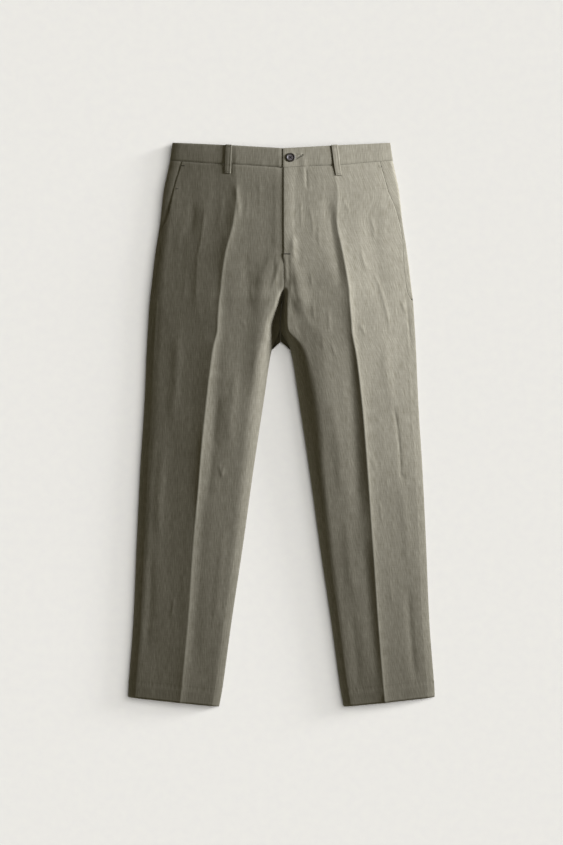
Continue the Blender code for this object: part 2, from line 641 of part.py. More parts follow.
def build_button(horn):
    """A four-hole horn button with a raised rim, sewn to the underlap through the left band."""
    half = BUTTON_THICKNESS / 2
    dish = half - 0.9 * MM
    profile = (
        (0.0, dish),
        (BUTTON_RADIUS - 1.9 * BUTTON_RIM, dish),
        (BUTTON_RADIUS - BUTTON_RIM, half - 0.2 * MM),
        (BUTTON_RADIUS - 0.6 * BUTTON_RIM, half),
        (BUTTON_RADIUS - 0.2 * BUTTON_RIM, half - 0.3 * MM),
        (BUTTON_RADIUS, 0.1 * half),
        (BUTTON_RADIUS - 0.8 * MM, -0.7 * half),
        (BUTTON_RADIUS - 2.2 * MM, -half),
        (0.0, -half),
    )
    mesh = bpy.data.meshes.new("button_profile")
    bm = bmesh.new()
    verts = [bm.verts.new((x, 0, z)) for x, z in profile]
    for a, b in zip(verts, verts[1:]):
        bm.edges.new((a, b))
    bm.to_mesh(mesh)
    bm.free()
    button = add_object("button", mesh, horn)
    turn = button.modifiers.new("turned", "SCREW")
    turn.steps = turn.render_steps = 32
    turn.use_merge_vertices = True
    turn.merge_threshold = 0.00001
    x = at("centre_x", BUTTON_ROW) + BUTTON_FROM_EDGE
    place = surface_frame(LEFT, x, BUTTON_ROW, BAND_PROUD + BUTTON_GAP + half)
    button.matrix_world = place
    for i in range(4):
        angle = math.radians(45 + 90 * i)
        offset = Vector((math.cos(angle), math.sin(angle), 0)) * BUTTON_HOLE_PITCH / math.sqrt(2)
        bpy.ops.mesh.primitive_cylinder_add(vertices=12, radius=BUTTON_HOLE, depth=4 * BUTTON_THICKNESS)
        drill = bpy.context.object
        drill.name = f"button_hole_{i + 1}"
        drill.matrix_world = place @ Matrix.Translation(offset)
        drill.hide_render = True
        drill.display_type = "WIRE"
        for collection in drill.users_collection:
            collection.objects.unlink(drill)
        cutters.objects.link(drill)
        cut = button.modifiers.new(drill.name, "BOOLEAN")
        cut.operation = "DIFFERENCE"
        cut.object = drill


def build_zip(tape_stuff, metal):
    """A closed zip under the fly: its tapes, its chain, and the slider with its pull lying down the chain."""
    depth = -ZIP_DEPTH
    top, low = BAND_SEAM + ZIP_TOP, FLY_END + ZIP_END
    steps = [top + (low - top) * k / ZIP_STEPS for k in range(ZIP_STEPS + 1)]

    def strip(name, width, its_steps, thickness, distance, stuff):
        grid = []
        for t in its_steps:
            middle = at("centre_x", t) + ZIP_FROM_EDGE
            grid.append([front_out(LEFT, middle + width * f, t, distance) for f in (-0.5, 0, 0.5)])
        return sheet(name, grid, thickness, stuff)

    strip("zip_tape", ZIP_TAPE, steps, ZIP_TAPE_THICKNESS, depth, tape_stuff)
    chain_top = depth + SEAM_GAP + ZIP_CHAIN_THICKNESS
    strip("zip_chain", ZIP_CHAIN, steps[1:], ZIP_CHAIN_THICKNESS, chain_top, metal)
    t = (steps[0] + steps[1]) / 2 - 0.02
    x = at("centre_x", t) + ZIP_FROM_EDGE
    slider = rounded_box("zip_slider", ZIP_SLIDER, 0.4 * MM, metal)
    slider.matrix_world = surface_frame(LEFT, x, t, depth + SEAM_GAP + ZIP_SLIDER[2] / 2 + 0.1 * MM)
    pull = rounded_box("zip_pull_cutter", ZIP_PULL, 0.2 * MM, metal)
    garment.objects.unlink(pull)
    cutters.objects.link(pull)
    pull.hide_render = True
    pull.display_type = "WIRE"
    proud = (ZIP_SLIDER[2] - ZIP_PULL[2]) / 2 + 0.15 * MM
    pull.matrix_world = slider.matrix_world @ Matrix.Translation((0, -ZIP_PULL[1] / 2, proud))
    join = slider.modifiers.new("pull", "BOOLEAN")
    join.operation = "UNION"
    join.object = pull


for leftover in list(bpy.data.objects):
    bpy.data.objects.remove(leftover)
garment = bpy.data.collections.new("linen_suit_trousers")
cutters = bpy.data.collections.new("cutters")
bpy.context.scene.collection.children.link(garment)
bpy.context.scene.collection.children.link(cutters)

linen_cloth = material("olive_linen", LINEN, 0.85)
horn_button = material("dark_horn", HORN, 0.35)
zip_tape = material("zip_tape", LINEN_SHADE, 0.9)
zip_metal = material("zip_metal", ZIP_METAL, 0.35, 1.0)

build_fronts(linen_cloth)
build_backs(linen_cloth)
build_pocket_facings(linen_cloth)
build_waistbands(linen_cloth)
build_belt_loops(linen_cloth)
build_button(horn_button)
build_zip(zip_tape, zip_metal)
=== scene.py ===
"""Linen suit trousers laid out on their back, fronts up: the cloth, its creases, its sewing and the light.

Metres, +Z up, +Y towards the waist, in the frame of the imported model. The cloth is modelled as thin shells
over the same cross sections as the model, with the creases, puckers and stitches of a pressed linen pair.
"""

import math
from collections import namedtuple
from functools import lru_cache

import bmesh
import bpy
from mathutils import Matrix, Vector, noise


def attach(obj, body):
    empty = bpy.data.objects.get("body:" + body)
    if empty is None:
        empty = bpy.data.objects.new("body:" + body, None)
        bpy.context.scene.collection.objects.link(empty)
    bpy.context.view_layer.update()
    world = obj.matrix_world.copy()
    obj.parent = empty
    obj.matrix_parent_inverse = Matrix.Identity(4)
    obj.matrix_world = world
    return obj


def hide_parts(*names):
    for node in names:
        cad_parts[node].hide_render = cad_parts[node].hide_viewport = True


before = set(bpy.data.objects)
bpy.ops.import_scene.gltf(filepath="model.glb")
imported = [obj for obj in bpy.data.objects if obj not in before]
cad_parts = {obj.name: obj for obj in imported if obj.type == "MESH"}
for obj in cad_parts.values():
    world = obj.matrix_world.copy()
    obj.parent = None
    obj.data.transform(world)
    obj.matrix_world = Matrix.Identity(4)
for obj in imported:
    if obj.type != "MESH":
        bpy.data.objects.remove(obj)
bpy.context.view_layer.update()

MM = 0.001
RIGHT, LEFT = -1, 1
SIDES = ((RIGHT, "right"), (LEFT, "left"))

# ---------------------------------------------------------------- sizes of the cloth and its trimmings
CLOTH = 1.0 * MM
SEAM_GAP = 0.3 * MM
EDGE_WALL = 1.5 * MM
HEM_TURN_UP = 30 * MM
HEM_FOLD = 2.1 * MM
BACK_ROLL = 8 * MM

FLY_LAP = 12 * MM
FLY_CLEARANCE = 1.4 * MM
LAP_FADE = 16 * MM
LAP_CLOSES = -0.36
LAP_LENGTH = 0.36
BAND_THICKNESS = 1.3 * MM
BAND_PROUD = 0.4 * MM
BAND_LAP = 38 * MM
BAND_CLEARANCE = 3.25 * MM
LAP_STEP, LAP_STEP_RUN = 0.7 * MM, 9 * MM
LAP_UNDER_RUN = 4 * MM
LAP_LIFT, LAP_LIFT_RUN = 0.5 * MM, 24 * MM
FACING_DEPTH = 2.1 * MM

LOOP_WIDTH = 12 * MM
LOOP_ARCH = 0.3 * MM
BeltLoop = namedtuple("BeltLoop", "name side x_top x_low below_band proud")
FRONT_LOOPS = (
    BeltLoop("belt_loop_front_right", RIGHT, -99.0, -101.5, 21.6, 0.9),
    BeltLoop("belt_loop_front_left", LEFT, 100.0, 108.0, 25.3, 1.3),
)
BACK_LOOPS = (
    BeltLoop("belt_loop_back_right", RIGHT, -122.0, -122.0, 21.0, 1.0),
    BeltLoop("belt_loop_back_centre", LEFT, 3.0, 3.0, 21.0, 1.0),
    BeltLoop("belt_loop_back_left", LEFT, 122.0, 122.0, 21.0, 1.0),
)

BUTTON_THICKNESS = 3.0 * MM
BUTTON_FROM_EDGE = 14.2 * MM
BUTTON_ROW = 0.535
BUTTON_HOLE = 1.1 * MM
BUTTON_HOLE_PITCH = 3.4 * MM
BUTTON_GAP = 0.5 * MM

ZIP_TAPE = 30 * MM
ZIP_FROM_EDGE = 17 * MM
ZIP_TAPE_WALL = 0.64 * MM
ZIP_DEPTH = 4.4 * MM
ZIP_TOOTH = (2.7 * MM, 1.2 * MM, 1.2 * MM)
ZIP_TOOTH_PITCH = 2.4 * MM
ZIP_TOOTH_OUT = 0.8 * MM
ZIP_SLIDER = (8 * MM, 9 * MM, 1.9 * MM)
ZIP_PLATE, ZIP_POST, ZIP_POST_UP = 0.55 * MM, (2 * MM, 2.4 * MM), 3 * MM
ZIP_PULL = (5 * MM, 24 * MM, 0.9 * MM)
ZIP_TOP, ZIP_END, ZIP_STEPS = 0.12, -0.06, 7
ZIP_TAPE_ROWS = 30
ZIP_TAPE_COLUMNS = (-0.5, -0.36, -0.33, -0.2, -0.08, 0.0, 0.08, 0.2, 0.33, 0.36, 0.5)
ZIP_CORD = 0.08 * MM

THREAD = 0.36 * MM
ROLL_POWER = 2.2
# how wide each leg's crease ridge is on its side away from the light and on the side towards it
RIDGE_WIDTHS = {RIGHT: (20 * MM, 9 * MM), LEFT: (12 * MM, 7 * MM)}
# how fast the gap between the legs deepens below the centre seam
GAP_OPENS = 2.5

# ---------------------------------------------------------------- cross sections, from the waist to the hems
# side and inner are the outline at the side seam and by the other leg, in millimetres; forked is 0 where the
# fronts are one surface and 1 where each leg is a tube; crease_r and crease_l place the creases from side to
# inner edge; back_z lifts the back off the surface.
Outline = namedtuple("Outline", "name side_x side_y inner_x inner_y centre_x forked crease_r crease_l back_z")
OUTLINES = (
    Outline("band top", 206.0, 533.7, 0.0, 520.5, 3.0, 0, 0.56, 0.54, 2.6),
    Outline("band seam", 211.0, 500.2, 0.0, 483.8, 3.0, 0, 0.58, 0.54, 2.6),
    Outline("high hip", 223.3, 440.0, 0.0, 436.0, 3.0, 0, 0.615, 0.53, 1.0),
    Outline("pocket", 229.3, 384.5, 0.0, 379.0, 3.0, 0, 0.60, 0.55, 0.0),
    Outline("fly end", 239.0, 322.0, 0.0, 320.0, 3.5, 0, 0.55, 0.52, 0.0),
    Outline("crotch top", 246.3, 260.0, 0.0, 264.0, 4.5, 0, 0.53, 0.495, 0.0),
    Outline("crotch", 249.7, 231.0, 0.0, 232.0, 1.0, 1, 0.53, 0.485, 0.0),
    Outline("fork", 253.0, 182.0, 0.0, 184.0, -2.5, 1, 0.532, 0.47, 0.0),
    Outline("thigh", 255.3, 141.5, 17.4, 141.5, -0.5, 1, 0.534, 0.486, 0.0),
    Outline("mid thigh", 259.9, 35.0, 34.7, 35.0, 0.0, 1, 0.524, 0.476, 0.0),
    Outline("knee", 267.6, -86.6, 53.0, -86.6, 0.0, 1, 0.531, 0.488, 0.0),
    Outline("calf", 274.5, -229.0, 72.7, -229.0, 0.0, 1, 0.538, 0.503, 0.0),
    Outline("shin", 280.5, -371.5, 94.4, -374.0, 0.0, 1, 0.562, 0.525, 0.0),
    Outline("hem turn", 289.2, -486.2, 112.2, -504.2, 0.0, 1, 0.572, 0.543, 0.0),
    Outline("hem", 290.8, -516.2, 117.8, -534.2, 0.0, 1, 0.575, 0.546, 0.0),
)
BAND_TOP, BAND_SEAM, FLY_END, CROTCH_TOP, CROTCH, FORK, HEM_TURN, HEM = (
    [s.name for s in OUTLINES].index(name)
    for name in ("band top", "band seam", "fly end", "crotch top", "crotch", "fork", "hem turn", "hem")
)

# Heights of each front at the same rows, in millimetres: a curl at the side seam, an even slope up to the
# crease, and the same down to the inner edge, which ends in a low toe where the legs press together. Above
# the fork inner_z is the height along the centre seam, and inner_curl only leads into its crotch value.
Height = namedtuple("Height", "seam_z side_curl side_roll crease_z ridge inner_curl inner_roll inner_z toe")
RIGHT_HEIGHTS = (
    Height(8.0, 2.5, 16, 28.0, 0.0, 20.0, 20, 31.5, 0.0),
    Height(8.0, 2.5, 16, 29.8, 0.0, 20.0, 20, 34.0, 0.0),
    Height(8.0, 2.6, 18, 31.0, 0.6, 0.0, 20, 37.5, 0.0),
    Height(7.5, 3.2, 20, 33.8, 2.4, -2.0, 20, 39.5, 0.0),
    Height(7.0, 3.8, 22, 34.4, 3.0, -4.0, 20, 40.5, 0.0),
    Height(7.0, 4.0, 25, 33.8, 2.8, -1.5, 10, 36.0, 0.3),
    Height(7.0, 4.4, 27, 33.0, 3.5, 20.0, 12, 14.0, 1.0),
    Height(6.5, 4.6, 29, 32.0, 4.0, 24.0, 20, 6.5, 11.0),
    Height(6.0, 5.2, 30, 31.2, 4.5, 22.5, 28, 6.0, 0.0),
    Height(6.0, 6.4, 30, 28.8, 4.5, 18.5, 30, 6.0, 0.0),
    Height(5.5, 7.9, 28, 25.8, 4.5, 14.8, 26, 5.5, 0.0),
    Height(5.0, 8.8, 25, 22.8, 4.0, 11.2, 23, 5.0, 0.0),
    Height(5.0, 8.4, 22, 19.5, 4.0, 9.0, 21, 5.0, 0.0),
    Height(4.5, 8.0, 20, 16.5, 3.5, 9.0, 20, 4.5, 0.0),
    Height(4.5, 7.0, 20, 15.5, 3.0, 8.5, 20, 4.5, 0.0),
)
LEFT_HEIGHTS = (
    Height(8.0, 0.5, 16, 24.5, 0.0, 20.0, 20, 31.5, 0.0),
    Height(8.0, 0.5, 16, 26.5, 0.0, 20.0, 20, 34.0, 0.0),
    Height(8.0, 0.4, 18, 29.0, 1.0, 0.0, 20, 37.5, 0.0),
    Height(7.5, 0.2, 20, 31.3, 2.0, -2.0, 20, 39.5, 0.0),
    Height(7.0, 0.0, 22, 33.4, 3.0, -4.0, 20, 40.5, 0.0),
    Height(7.0, -0.5, 25, 34.8, 3.5, -1.5, 6, 36.0, 3.0),
    Height(7.0, -0.8, 27, 34.8, 4.0, 20.5, 7, 14.0, 3.0),
    Height(6.5, -1.0, 29, 34.2, 4.5, 24.5, 9, 6.5, 5.0),
    Height(6.0, -0.6, 30, 32.8, 4.5, 22.0, 30, 6.0, 0.0),
    Height(6.0, 1.0, 30, 29.6, 4.5, 20.5, 40, 6.0, 0.0),
    Height(5.5, 2.8, 28, 26.0, 4.5, 17.5, 32, 5.5, 0.0),
    Height(5.0, 4.2, 25, 23.0, 4.0, 14.0, 26, 5.0, 0.0),
    Height(5.0, 5.0, 22, 20.2, 4.0, 11.3, 22, 5.0, 0.0),
    Height(4.5, 5.3, 20, 18.7, 3.5, 9.0, 20, 4.5, 0.0),
    Height(4.5, 5.5, 20, 17.8, 3.0, 8.0, 20, 4.5, 0.0),
)

# How far in from the side seam each pocket's mouth lies, in millimetres, at a distance below the band
Mouth = namedtuple("Mouth", "below_band right left")
MOUTH = (
    Mouth(0, 22.5, 25.0),
    Mouth(56, 18.5, 21.5),
    Mouth(89, 15.5, 11.5),
    Mouth(112, 11.5, 7.0),
    Mouth(137, 3.0, 5.0),
    Mouth(147, 3.0, 5.0),
    Mouth(175, 10.5, 8.0),
    Mouth(215, 8.5, 10.0),
    Mouth(250, 7.5, 9.0),
    Mouth(264, 3.0, 3.0),
)
MOUTH_END = MOUTH[-1].right * MM

# Soft folds in millimetres on the plan: a ridge (height above 0) or a trough (below 0) from one point to the
# other. width is its half width, bow bends it sideways at its middle, and sharp is 0 for a soft roll and 1
# for a crisp fold line.
Fold = namedtuple("Fold", "name x1 y1 x2 y2 width height bow sharp", defaults=(0, 0))
FOLDS = (
    Fold("fly crest", 8, 500, 7, 300, 18, 2.6),
    Fold("right hip fold", -146, 425, -160, 200, 12, 0.4),
    Fold("right crease head", -84, 452, -88, 375, 9, 0.6),
    Fold("right crease trough", -112, 330, -132, -80, 16, -2.0),
    Fold("right shin trough", -148, -120, -172, -470, 14, -1.6),
    Fold("right thigh roll", -32, 290, -48, 60, 18, 2.4),
    Fold("left crease trough", 85, 425, 112, 262, 11, -2.2, 0, 0.2),
    Fold("left thigh trough", 132, 190, 148, -180, 14, -2.6),
    Fold("left shin trough", 158, -220, 182, -480, 12, -2.0),
    Fold("left thigh roll", 74, 210, 92, -60, 26, 2.4),
    Fold("left front roll", 66, 450, 74, 300, 20, 0.6),
    Fold("left hip hollow", 168, 410, 186, 230, 18, -1.4),
    Fold("fly end pucker", 22, 352, 20, 300, 7, 1.8),
    Fold("crotch drag right", -10, 318, -52, 225, 14, 0.8),
    Fold("crotch drag left", 24, 300, 44, 215, 12, 1.8),
)
WRINKLES = (
    # the fly and the left front beside it
    Fold("fly panel edge", 27, 478, 25, 360, 3.5, -0.4, 1, 0.3),
    Fold("fly facing step", 41, 506, 42, 452, 5, 0.6),
    Fold("fly facing trough", 46.6, 483, 47.5, 448, 2.2, -0.9, 0, 0.4),
    Fold("beside right loop", -92.3, 532, -94.8, 471, 0.8, -1.1, 0, 0.3),
    Fold("before right loop", -105.8, 532, -108.3, 471, 0.8, -0.8, 0, 0.3),
    Fold("below right loop", -107, 471.6, -96, 471.6, 1.0, -1.2, 0, 0.3),
    Fold("below left loop", 103, 468.6, 114, 468.6, 1.0, -1.0, 0, 0.3),
    Fold("pocket nip upper", 183, 488.3, 190, 488.3, 0.8, -0.8),
    Fold("pocket nip lower", 194.4, 446, 198, 446, 0.9, -0.8),
    Fold("fly ridge low", 53, 408, 59, 354, 3, 0.5, -2, 0.4),
    Fold("fly end ridge", 22, 360, 25, 312, 3, 0.7, 1, 0.5),
    Fold("below fly ridge", 25, 308, 32, 240, 5, 0.35, 2, 0.2),
    Fold("centre seam roll", 8, 318, 10, 268, 3, 0.7, 0, 0.3),
    Fold("left front vertical one", 56, 283, 57, 262, 2.5, 0.55, 0, 0.4),
    Fold("left front vertical two", 60, 228, 62, 198, 2.5, 0.55, 1, 0.4),
    Fold("left front vertical three", 87, 214, 90, 180, 2.8, 0.6, -1, 0.4),
    Fold("left front vertical four", 95, 152, 101, 130, 2.8, 0.6, 0, 0.4),
    Fold("left front vertical five", 78, 170, 80, 141, 2.6, 0.5, 1, 0.4),
    Fold("left front vertical six", 70, 372, 73, 330, 3.2, 0.5, 1, 0.3),
    Fold("left front vertical seven", 88, 402, 90, 352, 3.4, 0.4, -1, 0.3),
    Fold("left front vertical eight", 36, 420, 38, 372, 2.6, 0.6, 0, 0.3),
    Fold("left front slant one", 116, 427, 129, 402, 3.2, 0.7, 1, 0.4),
    Fold("left front slant two", 148, 190, 159, 170, 3.2, 0.9, 0, 0.4),
    Fold("left front slant three", 178, 280, 205, 178, 3.4, 1.0, -3, 0.4),
    Fold("left front slant four", 150, 330, 162, 292, 3.6, 0.8, 2, 0.3),
    Fold("left front slant five", 168, 392, 176, 352, 4.0, 0.8, -2, 0.2),
    Fold("left front slant six", 228, 231, 234, 214, 2.6, 1.0, 0, 0.3),
    Fold("left side seam line", 236, 245, 245, 150, 1.6, -1.8, 0, 0.5),
    Fold("left crotch slant one", 16, 262, 34, 214, 5, 0.5, 3, 0.2),
    Fold("left crotch slant two", 30, 250, 62, 176, 7, 0.6, 4, 0),
    Fold("left crotch slant three", 20, 236, 40, 166, 7, -0.4, 3, 0),
    # the left leg
    Fold("left outer wrinkle", 212, 37, 226, -98, 3.5, -1.4, -3, 0.6),
    Fold("left outer wrinkle foot", 224, -92, 234, -104, 3, -1.0, 0, 0.5),
    Fold("left outer soft one", 196, 150, 214, 20, 9, 0.9, 4, 0),
    Fold("left outer soft two", 226, -120, 240, -260, 8, 0.8, -3, 0),
    Fold("left hem side trough", 240, -315, 254, -486, 7, -1.6, 2, 0.1),
    Fold("left inner soft one", 96, 40, 112, -130, 9, 0.9, -3, 0),
    Fold("left inner soft two", 124, -180, 138, -330, 8, 0.8, 3, 0),
    Fold("left inner soft three", 134, -360, 146, -500, 7, -0.7, 0, 0),
    Fold("left knee nick one", 170, -60, 178, -86, 3, 0.7, 0, 0.4),
    Fold("left knee nick two", 186, -150, 190, -186, 3, 0.6, 0, 0.4),
    Fold("left shin nick", 206, -300, 209, -336, 3, 0.6, 0, 0.4),
    # the right front
    Fold("right hip crisp fold", -146, 405, -157, 322, 3.0, 0.5, -2, 0.7),
    Fold("right hip crisp fold low", -157, 325, -161, 236, 4.0, 0.5, 1, 0.5),
    Fold("right hip faint trough", -168, 417, -174, 358, 8, -0.7, -2, 0),
    Fold("right crease upper end", -85.5, 449, -79.5, 394, 4.5, 1.0, 0, 0.6),
    Fold("right front trough", -68, 322, -60, 236, 10, -0.4, 0, 0),
    Fold("crotch diagonal", -4, 306, -20, 256, 5, 1.1, -3, 0.3),
    Fold("crotch diagonal lower", -10, 276, -34, 205, 7, 0.5, -4, 0.1),
    Fold("crotch diagonal far", -18, 330, -46, 262, 7, 0.4, -3, 0.1),
    Fold("right inner nick one", -76, 198, -68, 186, 3, 0.5, 0, 0.4),
    Fold("right inner nick two", -58, 262, -54, 232, 3, 0.4, 0, 0.3),
    Fold("right front vertical one", -40, 452, -42, 410, 3, 0.2, 0, 0.3),
    Fold("right front vertical two", -62, 440, -66, 384, 4, 0.25, 1, 0.2),
    Fold("right front vertical three", -112, 430, -118, 372, 5, 0.3, -1, 0.2),
    Fold("right front vertical four", -190, 380, -196, 330, 5, 0.3, 0, 0.2),
    Fold("right front vertical five", -182, 272, -184, 236, 5, 0.3, 0, 0.2),
    Fold("right side seam line", -242, 200, -246, 140, 1.6, -1.6, 0, 0.5),
    # the right leg
    Fold("right crease twin", -149, -12, -161, -180, 3, 0.9, 0, 0.7),
    Fold("right knee fork one", -118, -76, -112, -98, 3, 0.8, 0, 0.4),
    Fold("right knee fork two", -109, -78, -112, -98, 3, 0.7, 0, 0.4),
    Fold("right thigh trough one", -120, 46, -130, -48, 9, -1.2, 3, 0),
    Fold("right thigh trough two", -133, -48, -141, -142, 7, -1.0, -2, 0),
    Fold("right outer soft one", -196, 170, -208, 10, 9, 0.9, -3, 0),
    Fold("right outer soft two", -222, -40, -232, -210, 8, 0.8, 3, 0),
    Fold("right outer soft three", -246, -250, -256, -430, 7, -0.8, -2, 0),
    Fold("right inner soft one", -84, 100, -98, -40, 8, 0.8, 3, 0),
    Fold("right inner soft two", -112, -210, -128, -380, 8, 0.8, -3, 0),
    Fold("right shin nick", -204, -330, -207, -364, 3, 0.6, 0, 0.4),
)
# On the hidden side the cloth rests flat, and its wrinkles are troughs that lift it off the surface
BACK_WRINKLES = (
    Fold("right seat drag", -40, 300, -120, 170, 9, 1.6, 5, 0.2),
    Fold("left seat drag", 46, 296, 118, 176, 9, 1.4, -5, 0.2),
    Fold("right seat soft", -150, 380, -168, 240, 12, 1.3, 3, 0),
    Fold("left seat soft", 152, 372, 166, 250, 12, 1.1, -3, 0),
    Fold("right back crease", -130, 200, -206, -500, 2.2, 1.0, 0, 0.8),
    Fold("left back crease", 130, 200, 206, -500, 2.2, 1.0, 0, 0.8),
    Fold("right thigh soft", -90, 120, -112, -60, 8, 1.2, 4, 0),
    Fold("left thigh soft", 196, 110, 214, -70, 8, 1.2, -4, 0),
    Fold("right knee hollow one", -120, -60, -196, -92, 7, 1.5, 4, 0.2),
    Fold("right knee hollow two", -132, -104, -222, -120, 7, 1.2, -3, 0.2),
    Fold("left knee hollow one", 108, -70, 190, -96, 7, 1.4, -4, 0.2),
    Fold("left knee hollow two", 140, -112, 214, -128, 6, 1.1, 3, 0.2),
    Fold("right calf soft", -212, -200, -228, -380, 8, 1.0, 3, 0),
    Fold("left calf soft", 138, -220, 150, -400, 8, 1.0, -3, 0),
)
# The worked buttonhole gapes a little past the button
BUTTONHOLE = Fold("buttonhole", 26.5, 500.0, 41.2, 508.2, 0.9, -1.5)
BUTTONHOLE_LIPS = (
    Fold("buttonhole upper edge", 24.7, 511.4, 41.4, 508.9, 0.7, -0.7, 2.6),
    Fold("buttonhole lip", 29, 506.4, 38.5, 509.6, 1.8, 0.6),
)

# Where the seam under the band sags below its line, in millimetres, and over how many rows the sag dies out
Sag = namedtuple("Sag", "x depth width")
SEAM_SAGS = (Sag(110, 2.0, 45), Sag(-140, 1.1, 45))
SAG_ROWS, LEAST_SAG = 0.4, 0.001

SHARES = ("forked", "crease_r", "crease_l")


def slopes(values):
    """Monotone slopes of a table's column, so that a curve through it never swings past its rows."""
    steps = [b - a for a, b in zip(values, values[1:])]
    inner = [2 * a * b / (a + b) if a * b > 0 else 0.0 for a, b in zip(steps, steps[1:])]
    return [steps[0], *inner, steps[-1]]


def columns(table):
    """The columns of a table, each with its values and slopes, lengths turned to metres."""
    found = {}
    for field in table[0]._fields:
        if field != "name":
            values = [getattr(row, field) * (1.0 if field in SHARES else MM) for row in table]
            found[field] = (values, slopes(values))
    return found


OUTLINE = columns(OUTLINES)
HEIGHTS = {RIGHT: columns(RIGHT_HEIGHTS), LEFT: columns(LEFT_HEIGHTS)}
MOUTHS = columns(MOUTH)


def along(column, t):
    """A column's value at row t, which may lie between rows."""
    values, slope = column
    i = min(max(int(t), 0), len(values) - 2)
    s = min(max(t - i, 0.0), 1.0)
    h = s * s * (3 - 2 * s)
    bend = s * (1 - s) * (slope[i] * (1 - s) - slope[i + 1] * s)
    return values[i] * (1 - h) + values[i + 1] * h + bend


def smooth(s):
    s = min(max(s, 0.0), 1.0)
    return s * s * (3 - 2 * s)


def bell(distance, width):
    return math.exp(-((distance / width) ** 2))


Leg = namedtuple("Leg", ["outer", "crease", "inner", *Height._fields])
Section = namedtuple("Section", "centre forked side_y inner_y back_z legs sag")


@lru_cache(maxsize=8192)
def section(t):
    """The outline and heights at row t."""
    centre = along(OUTLINE["centre_x"], t)
    legs = {}
    for side, share in ((RIGHT, "crease_r"), (LEFT, "crease_l")):
        outer = side * along(OUTLINE["side_x"], t)
        inner = centre + side * along(OUTLINE["inner_x"], t)
        crease = outer + (inner - outer) * along(OUTLINE[share], t)
        legs[side] = Leg(outer, crease, inner, *(along(HEIGHTS[side][f], t) for f in Height._fields))
    middle = [along(OUTLINE[f], t) for f in ("forked", "side_y", "inner_y", "back_z")]
    return Section(centre, *middle, legs, bell(t - BAND_SEAM, SAG_ROWS))


def rise(distance, width, foot, top, curl, roll_width):
    """Height at a distance from a half section's edge: a curl at the foot, then an even slope to the top."""
    curled = 1 - (1 - min(max(distance / roll_width, 0.0), 1.0)) ** ROLL_POWER
    return foot + curl * curled + (top - foot - curl) * min(max(distance / width, 0.0), 1.0)


def plan_y(cut, leg, x):
    """Where a row crosses x: it runs straight from the side to the inner edge, but for the seam's sags."""
    sag = 0.0
    if cut.sag > LEAST_SAG:
        sag = sum(s.depth * bell(x / MM - s.x, s.width) for s in SEAM_SAGS) * MM * cut.sag
    return cut.side_y + (cut.inner_y - cut.side_y) * (x - leg.outer) / (leg.inner - leg.outer) - sag


def side_of(cut, x):
    return LEFT if x > cut.centre else RIGHT


def last_row(low, high, holds):
    """The last row between two for which a test holds, where it fails on all rows below."""
    for _ in range(24):
        t = (low + high) / 2
        low, high = (t, high) if holds(t) else (low, t)
    return low


def row_at(x, y):
    """The row whose line across the garment passes through a point of the plan."""
    def above(t):
        cut = section(t)
        return plan_y(cut, cut.legs[side_of(cut, x)], x) > y

    return last_row(0.0, float(HEM), above)


def prepare(folds):
    """Folds in metres: where each starts, the unit vector along it, its length and its form."""
    ready = []
    for fold in folds:
        start, end = Vector((fold.x1, fold.y1)) * MM, Vector((fold.x2, fold.y2)) * MM
        run = end - start
        way = run.normalized()
        ready.append((start.x, start.y, way.x, way.y, run.length, fold.width * MM, fold.height * MM,
                      fold.bow * MM, fold.sharp))
    return ready


FRONT_FOLDS = prepare(FOLDS + WRINKLES)
BACK_FOLDS = prepare(BACK_WRINKLES)
SLIT = prepare([BUTTONHOLE, *BUTTONHOLE_LIPS])


# how far a fold's tail runs past each end, as a share of its length, and how many half widths it spreads
FOLD_TAIL, FOLD_SPREAD = 0.35 / 3, 3


def fold_height(folds, x, y):
    """What the folds add to the cloth at a point of the plan. They fade out a little past their ends."""
    total = 0.0
    for fx, fy, wx, wy, length, width, height, bow, sharp in folds:
        dx, dy = x - fx, y - fy
        share = (dx * wx + dy * wy) / length
        if not -FOLD_TAIL < share < 1 + FOLD_TAIL:
            continue
        across = abs(dx * wy - dy * wx - bow * 4 * share * (1 - share)) / width
        if across < FOLD_SPREAD:
            fade = smooth((min(share, 1 - share) + FOLD_TAIL) * 3)
            form = math.exp(-across * across)
            if sharp:
                form += (math.exp(-1.6 * across) - form) * sharp
            total += height * fade * form
    return total


# The wash and the iron leave linen faintly uneven: long soft waves along the leg, and short puckers
WAVE = 0.38 * MM
WAVE_ACROSS, WAVE_ALONG = 34 * MM, 120 * MM
PUCKER = 0.12 * MM
PUCKER_ACROSS, PUCKER_ALONG = 9 * MM, 38 * MM


def uneven(x, y):
    wave = noise.noise(Vector((x / WAVE_ACROSS, y / WAVE_ALONG, 3.1)))
    pucker = noise.noise(Vector((x / PUCKER_ACROSS, y / PUCKER_ALONG, 7.7)))
    return wave * WAVE + pucker * PUCKER


# Along a seam the cloth dips into the stitches, and the pressed turnings behind it show as a faint ridge
SEAM_DIP, SEAM_DIP_WIDTH = 0.35 * MM, 1.8 * MM
TURNING, TURNING_RIDGE, TURNING_WIDTH = 14 * MM, 0.3 * MM, 1.6 * MM
GROOVE, GROOVE_WIDTH = 0.9 * MM, 2.4 * MM


def seam_relief(distance):
    return TURNING_RIDGE * bell(distance - TURNING, TURNING_WIDTH) - SEAM_DIP * bell(distance, SEAM_DIP_WIDTH)


def groove(distance):
    """How far a panel's edge rolls down into the seam beside it."""
    return GROOVE * (1 - smooth(distance / GROOVE_WIDTH))


FLUSH, FLY_FACING_WIDTH, FLY_FACING_FADE = 0.35, 46 * MM, 5 * MM


def seam_depth(x):
    """The band's seam is pressed nearly flush over the left fly facing, and is a full groove elsewhere."""
    return 1.0 if x < 0 else FLUSH + (1 - FLUSH) * smooth((x - FLY_FACING_WIDTH) / FLY_FACING_FADE)


